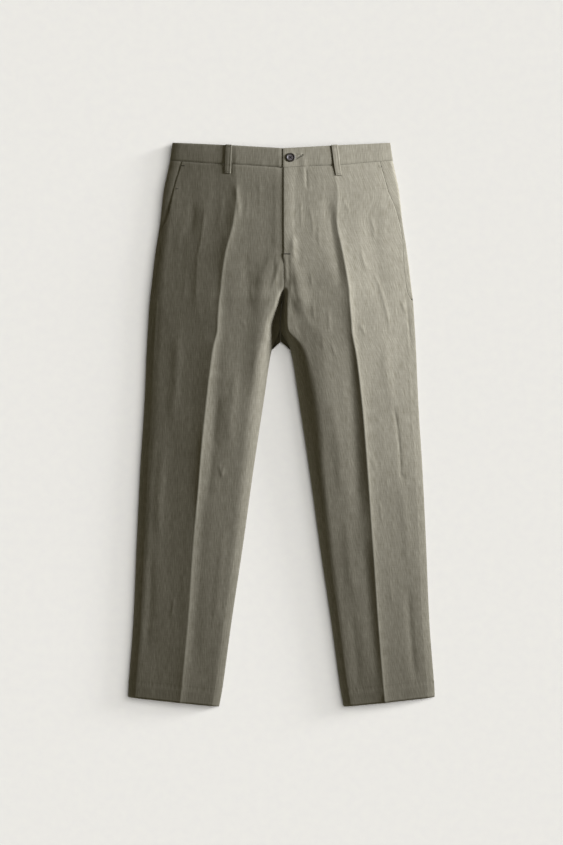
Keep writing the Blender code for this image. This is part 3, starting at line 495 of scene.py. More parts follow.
HEM_PROUD, HEM_PROUD_FADE = 0.25 * MM, 3 * MM
HEM_DIMPLE, HEM_DIMPLE_WIDTH, HEM_STITCH = 0.4 * MM, 1.5 * MM, 7 * MM


def hem_relief(x, above_line):
    """The hem's doubled cloth stands a little proud, under a line of blind stitches that dimple the front."""
    proud = HEM_PROUD * smooth(0.5 - above_line / HEM_PROUD_FADE)
    dimple = 0.6 + 0.4 * math.cos(math.tau * x / HEM_STITCH)
    return proud - HEM_DIMPLE * dimple * bell(above_line, HEM_DIMPLE_WIDTH)


# folds and waves fade out towards an edge, over the sixth of the way from it to the crease
EDGE_PART = 6


def front_height(x, t, fine=True):
    """Height of the front's outer face at x along row t. Past the centre seam it is the other leg's."""
    cut = section(t)
    leg = cut.legs[side_of(cut, x)]
    outside, half = abs(x - leg.outer), abs(leg.crease - leg.outer)
    inside, inner_half = abs(x - leg.inner) - leg.toe, abs(leg.crease - leg.inner) - leg.toe
    if outside <= half:
        z = rise(outside, half, leg.seam_z + EDGE_WALL, leg.crease_z, leg.side_curl, leg.side_roll)
    else:
        tube = rise(inside, inner_half, leg.inner_z + EDGE_WALL, leg.crease_z, leg.inner_curl, leg.inner_roll)
        share = (inside + leg.toe) / (inner_half + leg.toe)
        low = leg.inner_z + (leg.inner_curl + EDGE_WALL if t > CROTCH_TOP else 0.0)
        sheet = low + (leg.crease_z - low) * share
        z = sheet + (tube - sheet) * min(GAP_OPENS * cut.forked, 1.0)
    z += leg.ridge * math.exp(-abs(x - leg.crease) / RIDGE_WIDTHS[side_of(cut, x)][x > leg.crease])
    if not fine:
        return z
    y = plan_y(cut, leg, x)
    inner_mask = 1 - cut.forked * (1 - smooth(inside / inner_half * EDGE_PART))
    z += (fold_height(FRONT_FOLDS, x, y) + uneven(x, y)) * smooth(outside / half * EDGE_PART) * inner_mask
    if t > MOUTH_ROW:
        z += seam_relief(outside)
    z += seam_relief(inside + leg.toe) * smooth((t - FLY_END) / 0.3)
    if t > HEM_TURN - 1:
        hem = section(HEM)
        hem_y = plan_y(hem, hem.legs[LEFT if x > 0 else RIGHT], x)
        z += hem_relief(x, y - hem_y - HEM_TURN_UP)
    return z


def front_point(x, t, fine=True):
    cut = section(t)
    return Vector((x, plan_y(cut, cut.legs[side_of(cut, x)], x), front_height(x, t, fine)))


# the steps over which a slope is measured, in metres across and in rows down
STEP_ACROSS, STEP_DOWN = 0.5 * MM, 0.02


def front_out(x, t, distance, fine=False):
    """The point of the front at x and row t, moved out along the cloth's normal by distance."""
    here = front_point(x, t, fine)
    bound = abs(section(t).legs[LEFT].outer)
    step = STEP_ACROSS * (1 if abs(x + STEP_ACROSS) < bound else -1)
    across = (front_point(x + step, t, False) - front_point(x, t, False)) / step
    row_step = -STEP_DOWN if t > STEP_DOWN else STEP_DOWN
    down = (front_point(x, t + row_step, False) - front_point(x, t, False)) / row_step
    normal = across.cross(down)
    normal *= -1 if normal.z < 0 else 1
    return here + normal.normalized() * distance


def surface_frame(x, t, distance):
    """A matrix that puts an object's origin on the front, moved out by distance, with Z along the normal."""
    here = front_out(x, t, distance)
    across = (front_out(x + MM, t, distance) - here).normalized()
    normal = (front_out(x, t, distance + MM) - here).normalized()
    up_leg = normal.cross(across).normalized()
    rotation = Matrix((up_leg.cross(normal), up_leg, normal)).transposed().to_4x4()
    return Matrix.Translation(here) @ rotation


def mouth_width(side, t):
    """How far in from the side seam the pocket mouth lies at row t. It is 0 from the mouth's lower end on."""
    below = (section(BAND_SEAM).side_y - section(t).side_y) / MM
    for i, (a, b) in enumerate(zip(MOUTH, MOUTH[1:])):
        if below <= b.below_band:
            share = max(below - a.below_band, 0) / (b.below_band - a.below_band)
            return along(MOUTHS[dict(SIDES)[side]], i + share)
    return 0.0


# the row just above the point at which the pocket mouths meet the side seams
MOUTH_ROW = last_row(float(BAND_SEAM), float(CROTCH), lambda t: mouth_width(RIGHT, t) > 0) - 0.001


def rows(start, end, pitch, stops=()):
    """Row positions from one section to another, at most a pitch apart down the side, with given stops."""
    marks = sorted({start, end, *range(math.ceil(start), math.ceil(end)), *stops})
    found = [start]
    for a, b in zip(marks, marks[1:]):
        count = max(1, math.ceil((section(a).side_y - section(b).side_y) / pitch))
        found += [a + (b - a) * (k + 1) / count for k in range(count)]
    return found


# ---------------------------------------------------------------- making pieces
trousers = bpy.data.collections.new("linen_suit_trousers")
bpy.context.scene.collection.children.link(trousers)


def add_object(name, data, stuff, nodes=()):
    """A piece of the trousers, riding with the model and standing for the given nodes."""
    obj = bpy.data.objects.new(name, data)
    data.materials.clear()
    data.materials.append(stuff)
    trousers.objects.link(obj)
    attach(obj, "root")
    if nodes:
        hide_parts(*nodes)
    return obj


def finished_mesh(name, bm):
    """Turns a mesh in the making into one that an object can show."""
    mesh = bpy.data.meshes.new(name)
    bm.to_mesh(mesh)
    bm.free()
    return mesh


def round_edges(obj, width, sharper_than, segments):
    """Rounds the edges that turn by more than an angle in degrees."""
    rim = obj.modifiers.new("edges", "BEVEL")
    rim.limit_method = "ANGLE"
    rim.angle_limit = math.radians(sharper_than)
    rim.width = width
    rim.segments = segments


def grid_mesh(name, grid, wear_and_sheen=None, up=True):
    """A mesh through rows of points, with a UV map in metres along the cloth and each point's wear and
    painted sheen.
    """
    across, down = len(grid[0]), len(grid)
    middle = across // 2
    us = []
    for row in grid:
        u = [0.0]
        for a, b in zip(row, row[1:]):
            u.append(u[-1] + (b - a).length)
        us.append([value - u[middle] + row[middle].x for value in u])
    vs = [[0.0] * across]
    for above, below in zip(grid, grid[1:]):
        step = (below[middle] - above[middle]).length
        vs.append([v - step for v in vs[-1]])
    bm = bmesh.new()
    bmesh.ops.create_grid(bm, x_segments=across - 1, y_segments=down - 1, size=1)
    uv = bm.loops.layers.uv.new("cloth")
    worn_and_sheen = bm.verts.layers.float.new("wear_and_sheen")
    place = {}
    for vert in bm.verts:
        column = round((vert.co.x + 1) / 2 * (across - 1))
        row = round((1 - vert.co.y) / 2 * (down - 1))
        vert.co = grid[row][column]
        vert[worn_and_sheen] = wear_and_sheen(row, column) if wear_and_sheen else 0.0
        place[vert.index] = (us[row][column], vs[row][column])
    for face in bm.faces:
        for loop in face.loops:
            loop[uv].uv = place[loop.vert.index]
    bm.normal_update()
    lean = sum(f.normal.z * f.calc_area() * f.calc_center_median().z for f in bm.faces)
    if (lean > 0) != up:
        bmesh.ops.reverse_faces(bm, faces=bm.faces[:])
    mesh = finished_mesh(name, bm)
    mesh.shade_smooth()
    return mesh


def cloth_shell(name, grid, thickness, stuff, nodes, wear_and_sheen=None, up=True, edge=0.0):
    """A thin shell of cloth under a grid of outer points, its cut edges softened by edge."""
    obj = add_object(name, grid_mesh(name, grid, wear_and_sheen, up), stuff, nodes)
    wall = obj.modifiers.new("cloth", "SOLIDIFY")
    wall.offset = -1
    wall.use_even_offset = True
    wall.use_quality_normals = True
    wall.thickness = thickness
    if edge:
        round_edges(obj, edge, 60, 3)
    return obj


def draw_back(grid, row, gap):
    """Moves one row of a grid along the leg, to leave a gap at the seam beside it."""
    grid[row] = [point + Vector((0, gap, 0)) for point in grid[row]]


# The cut of a piece when it lies flat, in metres: width, length and area. No piece is given one.
Cut = namedtuple("Cut", "width length area")


def lengths(panel):
    """The nodes that a leg's panel stands for: the model has it in three lengths."""
    return [f"{panel}_{length}" for length in ("hip", "thigh", "shin")]


# ---------------------------------------------------------------- the fronts
HALF_COLUMNS = 58
ROW_PITCH = 4.2 * MM
FLY_EDGE_ROLL, FLY_EDGE_SINK = 2.0 * MM, 0.9 * MM
# how far a front's edge turns down into its side seam
EDGE_FOOT = 0.8 * (EDGE_WALL - SEAM_GAP / 2)
# rows close under the band seam, where the cloth rolls down into it
SEAM_STOPS = tuple(BAND_SEAM + below / 61 for below in (0.4, 0.9, 1.5, 2.4))
FRONT_STOPS = (*SEAM_STOPS, FLY_END + LAP_CLOSES, MOUTH_ROW, FLY_END + LAP_LENGTH)


def half_places(width):
    """Distances from an edge towards the crease: close together at the edge and even from there on."""
    near = (0.0, 0.5 * MM, 1.1 * MM, 1.9 * MM)
    start = 3 * MM
    return [*near, *(start + (width - start) * k / HALF_COLUMNS for k in range(HALF_COLUMNS))]


def fly_lap(t):
    """How far the right front reaches under the left one past the centre seam. Below the fly they butt."""
    closed = smooth((t - FLY_END - LAP_CLOSES) / LAP_LENGTH)
    return FLY_LAP + (-SEAM_GAP / 2 - FLY_LAP) * closed


def lap_sink(t, past_edge, clearance):
    """How deep a lapped layer lies: full under the layer over it, then fading out before its edge."""
    fade = 1 - smooth(-past_edge / LAP_FADE)
    down = 1 - smooth((t - FLY_END) / LAP_LENGTH)
    return clearance * fade * down


MOUTH_ROLL = {RIGHT: (0.6, 0.25, 0.06), LEFT: (0.3, 0.1, 0.02)}


def front_row(side, t):
    """The outer points of one row of a front, from the side seam or pocket mouth to the inner edge."""
    cut = section(t)
    leg = cut.legs[side]
    near = leg.outer - side * mouth_width(side, t)
    points = [front_point(near - side * d, t) for d in half_places(abs(leg.crease - near))]
    if mouth_width(side, t):
        for point, sunk in zip(points, MOUTH_ROLL[side]):
            point.z -= sunk * MM
    foot = points[0].copy()
    foot.z -= EDGE_FOOT
    points = [foot, *points, front_point(leg.crease, t)]
    lap = fly_lap(t) if side == RIGHT else -SEAM_GAP / 2
    far = leg.inner - side * lap * (1 - cut.forked) + side * SEAM_GAP / 2 * cut.forked
    for d in reversed(half_places(abs(leg.crease - far))):
        x = far + side * d
        point = front_point(x, t)
        if side == RIGHT and t < CROTCH_TOP:
            point.z -= lap_sink(t, x - cut.centre, FLY_CLEARANCE)
        if side == LEFT and t < FLY_END:
            point.z -= FLY_EDGE_SINK * max(1 - d / FLY_EDGE_ROLL, 0) ** 2
        points.append(point)
    end = points[-1]
    end.z += (leg.inner_z + SEAM_GAP / 2 - end.z) * cut.forked
    below_seam = section(BAND_SEAM).side_y - cut.side_y
    for point in points:
        point.z -= groove(below_seam) * seam_depth(point.x)
    return points


# Round a hem's fold: how far the cloth has turned in, as a share of the fold's depth, and how far it hangs
# below the hem line there, as a share of half that depth
HEM_ROUND = ((0.25, 0.6), (0.5, 0.85), (0.75, 0.6))
HEM_INSET = 2.2 * MM


def hem_turn_up(side, last):
    """Rows that carry a front round its hem fold and back up inside the leg."""
    hem = section(HEM)
    leg = hem.legs[side]
    width = leg.inner - leg.outer
    found = []
    turn = [(HEM, depth, drop) for depth, drop in HEM_ROUND]
    up = [(HEM - (HEM - HEM_TURN) * k / 5, 1.0, 0.0) for k in range(6)]
    for t, depth, drop in (*turn, *up):
        row = []
        for point in last:
            share = (point.x - leg.outer) / width
            inset = HEM_INSET * depth / abs(width)
            share = inset + (1 - 2 * inset) * share
            cut = section(t)
            x = cut.legs[side].outer + (cut.legs[side].inner - cut.legs[side].outer) * share
            inner = front_out(x, t, -HEM_FOLD * depth)
            inner.y -= drop * HEM_FOLD / 2
            row.append(inner)
        found.append(row)
    return found


# how much paler each place is painted: the crease for wear and for its painted sheen, the edges and hem for
# wear
CREASE_WEAR_AND_SHEEN, EDGE_WEAR, HEM_WEAR = 0.8, 0.25, 0.6
CREASE_WEAR_AND_SHEEN_WIDTH = 1.6 * MM


def front_wear_and_sheen(grid, steps):
    """Wear is highest on the pressed crease, where a painted sheen is added to it, and along edges that rub.
    """
    across = len(grid[0])
    crease = 1 + len(half_places(1.0))

    def worn_and_sheen(row, column):
        t = steps[min(row, len(steps) - 1)]
        away = abs(grid[row][column].x - grid[row][crease].x)
        on_crease = math.exp(-away / CREASE_WEAR_AND_SHEEN_WIDTH) * smooth((t - BAND_SEAM) / 1.5)
        on_edge = math.exp(-min(column, across - 1 - column) / 1.5)
        on_hem = math.exp(-max(len(steps) - 1 - row, 0) / 1.2)
        return min(CREASE_WEAR_AND_SHEEN * on_crease + EDGE_WEAR * on_edge + HEM_WEAR * on_hem, 1.0)

    return worn_and_sheen


def build_fronts(linen):
    steps = rows(BAND_SEAM, HEM, ROW_PITCH, FRONT_STOPS)
    for side, name in SIDES:
        grid = [front_row(side, t) for t in steps]
        draw_back(grid, 0, -SEAM_GAP / 2)
        grid += hem_turn_up(side, grid[-1])
        wear_and_sheen = front_wear_and_sheen(grid, steps)
        nodes = lengths(f"front_{name}")
        front = cloth_shell(f"front_{name}_cloth", grid, CLOTH, linen, nodes, wear_and_sheen)


# ---------------------------------------------------------------- the backs
BACK_ARC = 7
BACK_MIDDLE = 60
BACK_PITCH = 6 * MM
BACK_WAVE = 0.5 * MM
# an edge that rises less than this lies flat, with only a dip at its seam
LEAST_ROLL = 0.4 * MM
# how far below the fork the backs still meet, in rows
BACKS_PART = 0.68


def back_relief(x, y):
    """Wrinkles that lift the back off the surface it rests on. Between them it lies flat."""
    wave = noise.noise(Vector((x / WAVE_ACROSS, y / WAVE_ALONG, 12.3)))
    return fold_height(BACK_FOLDS, x, y) + max(wave, 0) * BACK_WAVE


def back_row(side, t):
    """The outer points of one row of a back, on the surface, rolled up to the seams at its edges."""
    cut = section(t)
    leg = cut.legs[side]
    lift = cut.back_z
    apart = smooth((t - FORK - BACKS_PART) / (1 - BACKS_PART)) if t > FORK else 1.0
    inner = cut.centre + (leg.inner - cut.centre) * apart + side * SEAM_GAP / 2
    if t > FORK:
        inner_top = leg.seam_z
    else:
        inner_top = lift + (section(FORK).legs[side].seam_z - lift) * smooth(t - CROTCH)
    inner_top = max(inner_top - SEAM_GAP / 2, lift)

    def place(x, z):
        return Vector((x, plan_y(cut, leg, x), z))

    def rolled(edge, towards, top):
        drop = top - min(EDGE_WALL, top - lift) - lift
        found = [place(edge, top)]
        for k in range(BACK_ARC + 1):
            turn = math.pi / 2 * k / BACK_ARC
            x = edge + towards * BACK_ROLL * (1 - math.cos(turn))
            found.append(place(x, lift + drop * (1 - math.sin(turn))))
        return found

    side_points = rolled(leg.outer, -side, leg.seam_z - SEAM_GAP / 2)
    inner_points = rolled(inner, side, inner_top)
    if inner_top - lift < LEAST_ROLL:
        count = len(inner_points)
        inner_points = [place(inner + side * BACK_ROLL * k / (count - 1), lift) for k in range(count)]
        for point in inner_points:
            point.z += SEAM_DIP * bell(point.x - inner, SEAM_DIP_WIDTH)
    shares = [(k + 1) / (BACK_MIDDLE + 1) for k in range(BACK_MIDDLE)]
    middle = [side_points[-1].lerp(inner_points[-1], share) for share in shares]
    for k, point in enumerate(middle):
        point.z += back_relief(point.x, point.y) * smooth(min(k, BACK_MIDDLE - 1 - k) / 4)
    return side_points + middle + inner_points[::-1]


def back_hem(side, last):
    """Rows that carry a back round its hem fold and up inside the leg."""
    leg = section(HEM).legs[side]
    middle = (leg.outer + leg.inner) / 2
    turn = [(depth, drop, 0.0) for depth, drop in HEM_ROUND]
    up = [(1.0, 0.0, back) for back in (0.0, 0.4, 1.0)]
    found = []
    for depth, drop, back in (*turn, *up):
        narrowed = 1 - HEM_INSET * depth / abs(leg.outer - middle)
        along_leg = back * HEM_TURN_UP - drop * HEM_FOLD / 2
        found.append([Vector((middle + (point.x - middle) * narrowed, point.y + along_leg,
                              point.z + HEM_FOLD * depth)) for point in last])
    return found


def build_backs(linen):
    steps = rows(BAND_SEAM, HEM, BACK_PITCH)
    for side, name in SIDES:
        grid = [back_row(side, t) for t in steps]
        draw_back(grid, 0, -SEAM_GAP / 2)
        grid += back_hem(side, grid[-1])
        nodes = lengths(f"back_{name}")
        back = cloth_shell(f"back_{name}_cloth", grid, CLOTH, linen, nodes, up=False)


# ---------------------------------------------------------------- the hip pieces seen in the pocket mouths
# how deep the facing lies, in millimetres, at shares of the way in from the side seam to the mouth. The left
# one puffs up against the mouth, so that its edge hardly shows.
IN_MOUTH = {
    RIGHT: ((0, 0), (0.2, 0.1), (0.4, 0.2), (0.6, 0.35), (0.75, 0.45), (0.88, 0.6), (0.96, 0.9), (1, 1.2)),
    LEFT: ((0, 0), (0.2, 0), (0.4, 0), (0.6, 0), (0.8, 0), (0.955, 0), (0.985, 0.12), (1, 1.1)),
}
# Past the mouth the facing goes on under the front: how far, as a share of the way to the crease, in how
# many columns, and after how many of them it lies full deep
FACING_REACH, FACING_COLUMNS, FACING_SINKS = 0.25, 10, 4
# how much of the band seam's groove the facing follows
FACING_GROOVE = 0.7
MOUTH_GAPE = {RIGHT: 1.8 * MM, LEFT: 0.6 * MM}
MOUTH_GAPE_ROWS = (2.75, 0.45)


def build_pocket_facings(linen):
    for side, name in SIDES:
        at_mouth = IN_MOUTH[side][-1][1] * MM
        grid = []
        for t in rows(BAND_SEAM, MOUTH_ROW, ROW_PITCH, SEAM_STOPS):
            cut = section(t)
            leg = cut.legs[side]
            near = leg.outer - side * max(mouth_width(side, t), MOUTH_END)
            gape = MOUTH_GAPE[side] * bell(t - MOUTH_GAPE_ROWS[0], MOUTH_GAPE_ROWS[1])
            row = []
            for share, sunk in IN_MOUTH[side]:
                x = leg.outer + (near - leg.outer) * share
                row.append(front_out(x, t, -sunk * MM - gape * share ** 2))
            reach = FACING_REACH * abs(leg.crease - near)
            for k in range(1, FACING_COLUMNS + 1):
                deep = at_mouth + (FACING_DEPTH - at_mouth) * smooth(k / FACING_SINKS)
                inward = k / FACING_COLUMNS
                row.append(front_out(near - side * reach * inward, t, -deep - gape * (1 - inward)))
            foot = row[0].copy()
            foot.z = leg.seam_z + SEAM_GAP / 2
            for point in row:
                point.z -= groove(section(BAND_SEAM).side_y - cut.side_y) * FACING_GROOVE
            grid.append([foot, *row])
        draw_back(grid, 0, -SEAM_GAP / 2)
        node_name = f"pocket_facing_{name}"
        piece = cloth_shell(f"{node_name}_cloth", grid, CLOTH, linen, [node_name])


# ---------------------------------------------------------------- the waistband
# The front end of each band has close columns: under the lap on the right, round the buttonhole on the left
BandEnd = namedtuple("BandEnd", "reach count")
BAND_ENDS = {RIGHT: BandEnd(56 * MM, 70), LEFT: BandEnd(46 * MM, 42)}
BAND_EVEN = 42
BAND_SIDE = (12 * MM, 7 * MM, 4 * MM, 2 * MM, 0.8 * MM, 0.0)
BAND_EDGE_ROWS = (0.0, 0.015, 0.035, 0.065, 0.1)
BAND_MIDDLE_ROWS = 26
BAND_CROWN, BAND_RIM = 0.35 * MM, 0.4 * MM
# how much of a seam's groove shows at the band's front end
BAND_END_GROOVE = 0.25
BAND_GATHER, BAND_GATHER_ACROSS = 0.22 * MM, 7 * MM


def band_relief(x, y, t, from_end):
    """The band's soft crown, its edges rolling down all round, and its puckers."""
    height = section(BAND_TOP).side_y - section(BAND_SEAM).side_y
    relief = BAND_CROWN * math.sin(math.pi * t)
    relief -= groove((1 - t) * height) * seam_depth(x) + groove(t * height)
    relief -= BAND_END_GROOVE * groove(from_end)
    gathered = noise.noise(Vector((x / BAND_GATHER_ACROSS, 0.3 * t, 21.5))) * bell(1 - t, 0.3)
    return relief + BAND_GATHER * gathered


def band_row(side, t):
    """The outer points of one row of a waistband, from its front end round the side to the centre back."""
    cut = section(t)
    leg = cut.legs[side]
    end = leg.inner - side * (BAND_LAP if side == RIGHT else 0.0)
    near, count = BAND_ENDS[side]
    even_end = abs(leg.outer - end) - BAND_SIDE[0]
    places = [near * k / count for k in range(count)]
    places += [near + (even_end - near) * k / BAND_EVEN for k in range(BAND_EVEN)]
    places += [abs(leg.outer - end) - d for d in BAND_SIDE]
    points = []
    for d in places:
        x = end + side * d
        sunk = 0.0
        if side == RIGHT:
            under = x - leg.inner
            sunk = LAP_STEP * smooth(under / LAP_STEP_RUN + 1)
            sunk += (BAND_CLEARANCE - LAP_STEP) * smooth(under / LAP_UNDER_RUN + 0.25)
        else:
            sunk = -LAP_LIFT * (1 - smooth(d / LAP_LIFT_RUN))
        point = front_out(x, t, BAND_PROUD - sunk, fine=True)
        point.z += band_relief(x, point.y, t, d)
        if side == LEFT:
            point.z += fold_height(SLIT, x, point.y)
        points.append(point)
    for above in (0.5, -1.5):
        edge = Vector((leg.outer + side * BAND_PROUD, cut.side_y, leg.seam_z + above * EDGE_WALL))
        points.append(edge)
    under = back_row(side, t)
    for point in [*under[2:BACK_ARC + 2], *under[BACK_ARC + 2:BACK_ARC + 2 + BACK_MIDDLE:2], under[-1]]:
        points.append(point - Vector((0, 0, BAND_PROUD)))
    return points


def build_waistbands(linen):
    """One band for each side, from the front opening round the side to the centre back."""
    middle = [0.1 + 0.8 * (k + 1) / BAND_MIDDLE_ROWS for k in range(BAND_MIDDLE_ROWS - 1)]
    steps = [*BAND_EDGE_ROWS, *middle, *(1 - t for t in reversed(BAND_EDGE_ROWS))]
    for side, name in SIDES:
        grid = [band_row(side, t) for t in steps]
        draw_back(grid, -1, SEAM_GAP / 2)
        node_name = f"waistband_{name}"
        band = cloth_shell(f"{node_name}_cloth", grid, BAND_THICKNESS, linen, [node_name],
                           edge=BAND_RIM)


# ---------------------------------------------------------------- sewing
def sewn(name, runs, stuff, radius=THREAD / 2):
    """Threads through runs of points, joined in one piece."""
    curve = bpy.data.curves.new(name, "CURVE")
    curve.dimensions = "3D"
    curve.bevel_depth = radius
    curve.bevel_resolution = 1
    curve.use_fill_caps = True
    for run in runs:
        spline = curve.splines.new("POLY")
        spline.points.add(len(run) - 1)
        for point, place in zip(spline.points, run):
            point.co = (*place, 1.0)
    return add_object(name, curve, stuff)


STITCH_ARCH = ((0.0, -0.35), (0.12, 0.12), (0.5, 0.26), (0.88, 0.12), (1.0, -0.35))


def stitch(a, b, lift=0.0, fine=True):
    """One stitch between two points of the plan: it rises out of the cloth, crosses and goes back in."""
    run = []
    for share, out in STITCH_ARCH:
        x, y = a[0] + (b[0] - a[0]) * share, a[1] + (b[1] - a[1]) * share
        run.append(front_out(x, row_at(x, y), lift + out * MM, fine))
    return run


# how far every other stitch of a tack is shifted, as a share of the tack's height
TACK_JOG = 0.12


def bar_tack(x, y, width, tall, lift=0.0, fine=True):
    """Close stitches side by side across a bar, uneven at their ends."""
    count = round(width / THREAD)
    runs = []
    for k in range(count + 1):
        at = x + width * (k / count - 0.5)
        jog = TACK_JOG * tall * (-1) ** k
        runs.append(stitch((at, y - tall / 2 + jog), (at, y + tall / 2 + jog), lift, fine))
    return runs


PURL_REACH, PURL_PITCH = (0.7 * MM, 2.2 * MM), 1.3 * THREAD


def buttonhole_stitches():
    """Purl stitches side by side round the slit, each from its edge out into the band."""
    start = Vector((BUTTONHOLE.x1, BUTTONHOLE.y1)) * MM
    run = Vector((BUTTONHOLE.x2, BUTTONHOLE.y2)) * MM - start
    across = Vector((-run.y, run.x)).normalized()
    count = round(run.length / PURL_PITCH)
    runs = []
    for k in range(count + 1):
        middle = start + run * (k / count)
        for side in (-1, 1):
            near, far = (middle + across * side * reach for reach in PURL_REACH)
            runs.append(stitch(near, far, BAND_PROUD))
    return runs


# the bar tacks at the fly's end and at the pocket mouths, in millimetres
Tack = namedtuple("Tack", "x y width tall")
TACKS = (
    Tack(11, 320.5, 12, 1.8),
    Tack(-186, 489.5, 6.5, 1.4),
    Tack(186.5, 488.3, 6.5, 2.2),
    Tack(-197, 446, 3.5, 1.4),
    Tack(196.2, 446, 3.5, 1.8),
)


def build_sewing(thread, tack_thread_painted_shade):
    sewn("buttonhole_stitches", buttonhole_stitches(), thread)
    runs = []
    for tack in TACKS:
        runs += bar_tack(*(size * MM for size in tack))
    # the tacks are sewn with thread painted dark to stand in for the shade beside them
    sewn("fly_and_pocket_tacks", runs, tack_thread_painted_shade)


# ---------------------------------------------------------------- the belt loops
LOOP_ROWS = 30
# across a loop: share of its width, and how far the folded cloth rolls down there
LoopColumn = namedtuple("LoopColumn", "share drop")
LOOP_EDGE = (LoopColumn(0.5, 0.7), LoopColumn(0.485, 0.35), LoopColumn(0.46, 0.12), LoopColumn(0.42, 0.0))
LOOP_MIDDLE = (
    LoopColumn(-0.36, 0.12), LoopColumn(-0.30, 0.0), LoopColumn(-0.15, -0.12), LoopColumn(0.0, -0.1),
    LoopColumn(0.1, -0.05), LoopColumn(0.17, 0.1), LoopColumn(0.24, 0.0), LoopColumn(0.34, -0.1),
)
LOOP_COLUMNS = (*(LoopColumn(-share, drop) for share, drop in LOOP_EDGE), *LOOP_MIDDLE, *LOOP_EDGE[::-1])
# where a front loop's ends fold in, along the leg and down, in millimetres
LOOP_TOP_FOLD = ((0.2, 2.4), (0.8, 1.3), (0.8, 0.5), (0.5, 0.1))
LOOP_FOOT_FOLD = ((-0.35, 0.15), (-0.6, 0.5), (-0.6, 1.1))
# how high a back loop lies, and how much of its edges' roll is left where it is pressed flat
BACK_LOOP_LIFT, BACK_LOOP_ROLL = 0.15 * MM, 0.6 * MM


def loop_place(loop, share):
    """The middle's x, the row and the lift of a front loop at a share of its length from the top."""
    top, seam, first = (section(t).side_y for t in (BAND_TOP, BAND_SEAM, BAND_SEAM + 1))
    reach = (top - seam + loop.below_band * MM) * share
    t = reach / (top - seam) if reach < top - seam else BAND_SEAM + (reach - top + seam) / (seam - first)
    lift = loop.proud * MM + SEAM_GAP + LOOP_ARCH * smooth(min(share, 1 - share) * 5)
    lift += (BAND_PROUD + BAND_CROWN) * smooth((BAND_SEAM + 0.1 - t) / 0.1)
    return (loop.x_top + (loop.x_low - loop.x_top) * share) * MM, t, lift


def folded_in(row, fold):
    return [[point + Vector((0, y, -z)) * MM for point in row] for y, z in fold]


def front_loop_grid(loop):
    grid = []
    for k in range(LOOP_ROWS + 1):
        middle, t, lift = loop_place(loop, k / LOOP_ROWS)
        grid.append([front_out(middle + c.share * LOOP_WIDTH, t, lift - c.drop * MM) for c in LOOP_COLUMNS])
    return [*folded_in(grid[0], LOOP_TOP_FOLD), *grid, *folded_in(grid[-1], LOOP_FOOT_FOLD)]


def back_loop_grid(loop):
    x = loop.x_top * MM
    cut = section(BAND_TOP)
    leg = cut.legs[loop.side]
    top = plan_y(cut, leg, x)
    low = section(BAND_SEAM)
    length = top - plan_y(low, low.legs[loop.side], x) + loop.below_band * MM
    across = [(x + share * LOOP_WIDTH, BACK_LOOP_LIFT + max(drop, 0) * BACK_LOOP_ROLL)
              for share, drop in LOOP_COLUMNS]
    down = [top - length * k / LOOP_ROWS for k in range(LOOP_ROWS + 1)]
    return [[Vector((at, y, z)) for at, z in across] for y in down]


FRONT_LOOP_WALL, BACK_LOOP_WALL, LOOP_RIM = 0.8 * MM, 1.3 * MM, 0.2 * MM
# at which shares of its length a front loop is tacked down, and the width and height of a tack
LOOP_TACKED = (0.055, 0.94)
LOOP_TACK, LOOP_TACK_SINK = (0.7 * LOOP_WIDTH, 1.5 * MM), 0.2 * MM


def build_belt_loops(linen, thread):
    """Strips sewn down at both ends: two on the front of the band, and three on its back."""
    tacks = []
    for loop in FRONT_LOOPS:
        grid = front_loop_grid(loop)
        piece = cloth_shell(f"{loop.name}_cloth", grid, FRONT_LOOP_WALL, linen, [loop.name],
                            edge=LOOP_RIM)
        for share in LOOP_TACKED:
            x, t, lift = loop_place(loop, share)
            width, tall = LOOP_TACK
            tacks += bar_tack(x, front_point(x, t).y, width, tall, lift - LOOP_TACK_SINK, fine=False)
    for loop in BACK_LOOPS:
        grid = back_loop_grid(loop)
        piece = cloth_shell(f"{loop.name}_cloth", grid, BACK_LOOP_WALL, linen, [loop.name],
                            up=False, edge=LOOP_RIM)
    sewn("belt_loop_tacks", tacks, thread)


# ---------------------------------------------------------------- the button
# Its turned profile from the middle of the dish out over the rim and back underneath, radius and height in
# millimetres from the middle of its thickness
BUTTON_PROFILE = (
    (0.0, 0.45), (3.4, 0.47), (4.9, 0.52), (5.5, 0.62), (5.9, 0.85), (6.25, 1.15), (6.6, 1.36), (7.0, 1.47),
    (7.4, 1.5), (7.8, 1.42), (8.15, 1.2), (8.4, 0.85), (8.5, 0.35), (8.46, -0.15), (8.2, -0.65), (7.6, -1.1),
    (6.8, -1.38), (6.0, -1.5), (0.0, -1.5),
)
BUTTON_SIDES = 96
HOLE_RIM = 0.14 * MM


def button_holes():
    for k in range(4):
        angle = math.radians(45 + 90 * k)
        yield Vector((math.cos(angle), math.sin(angle), 0)) * BUTTON_HOLE_PITCH / math.sqrt(2)


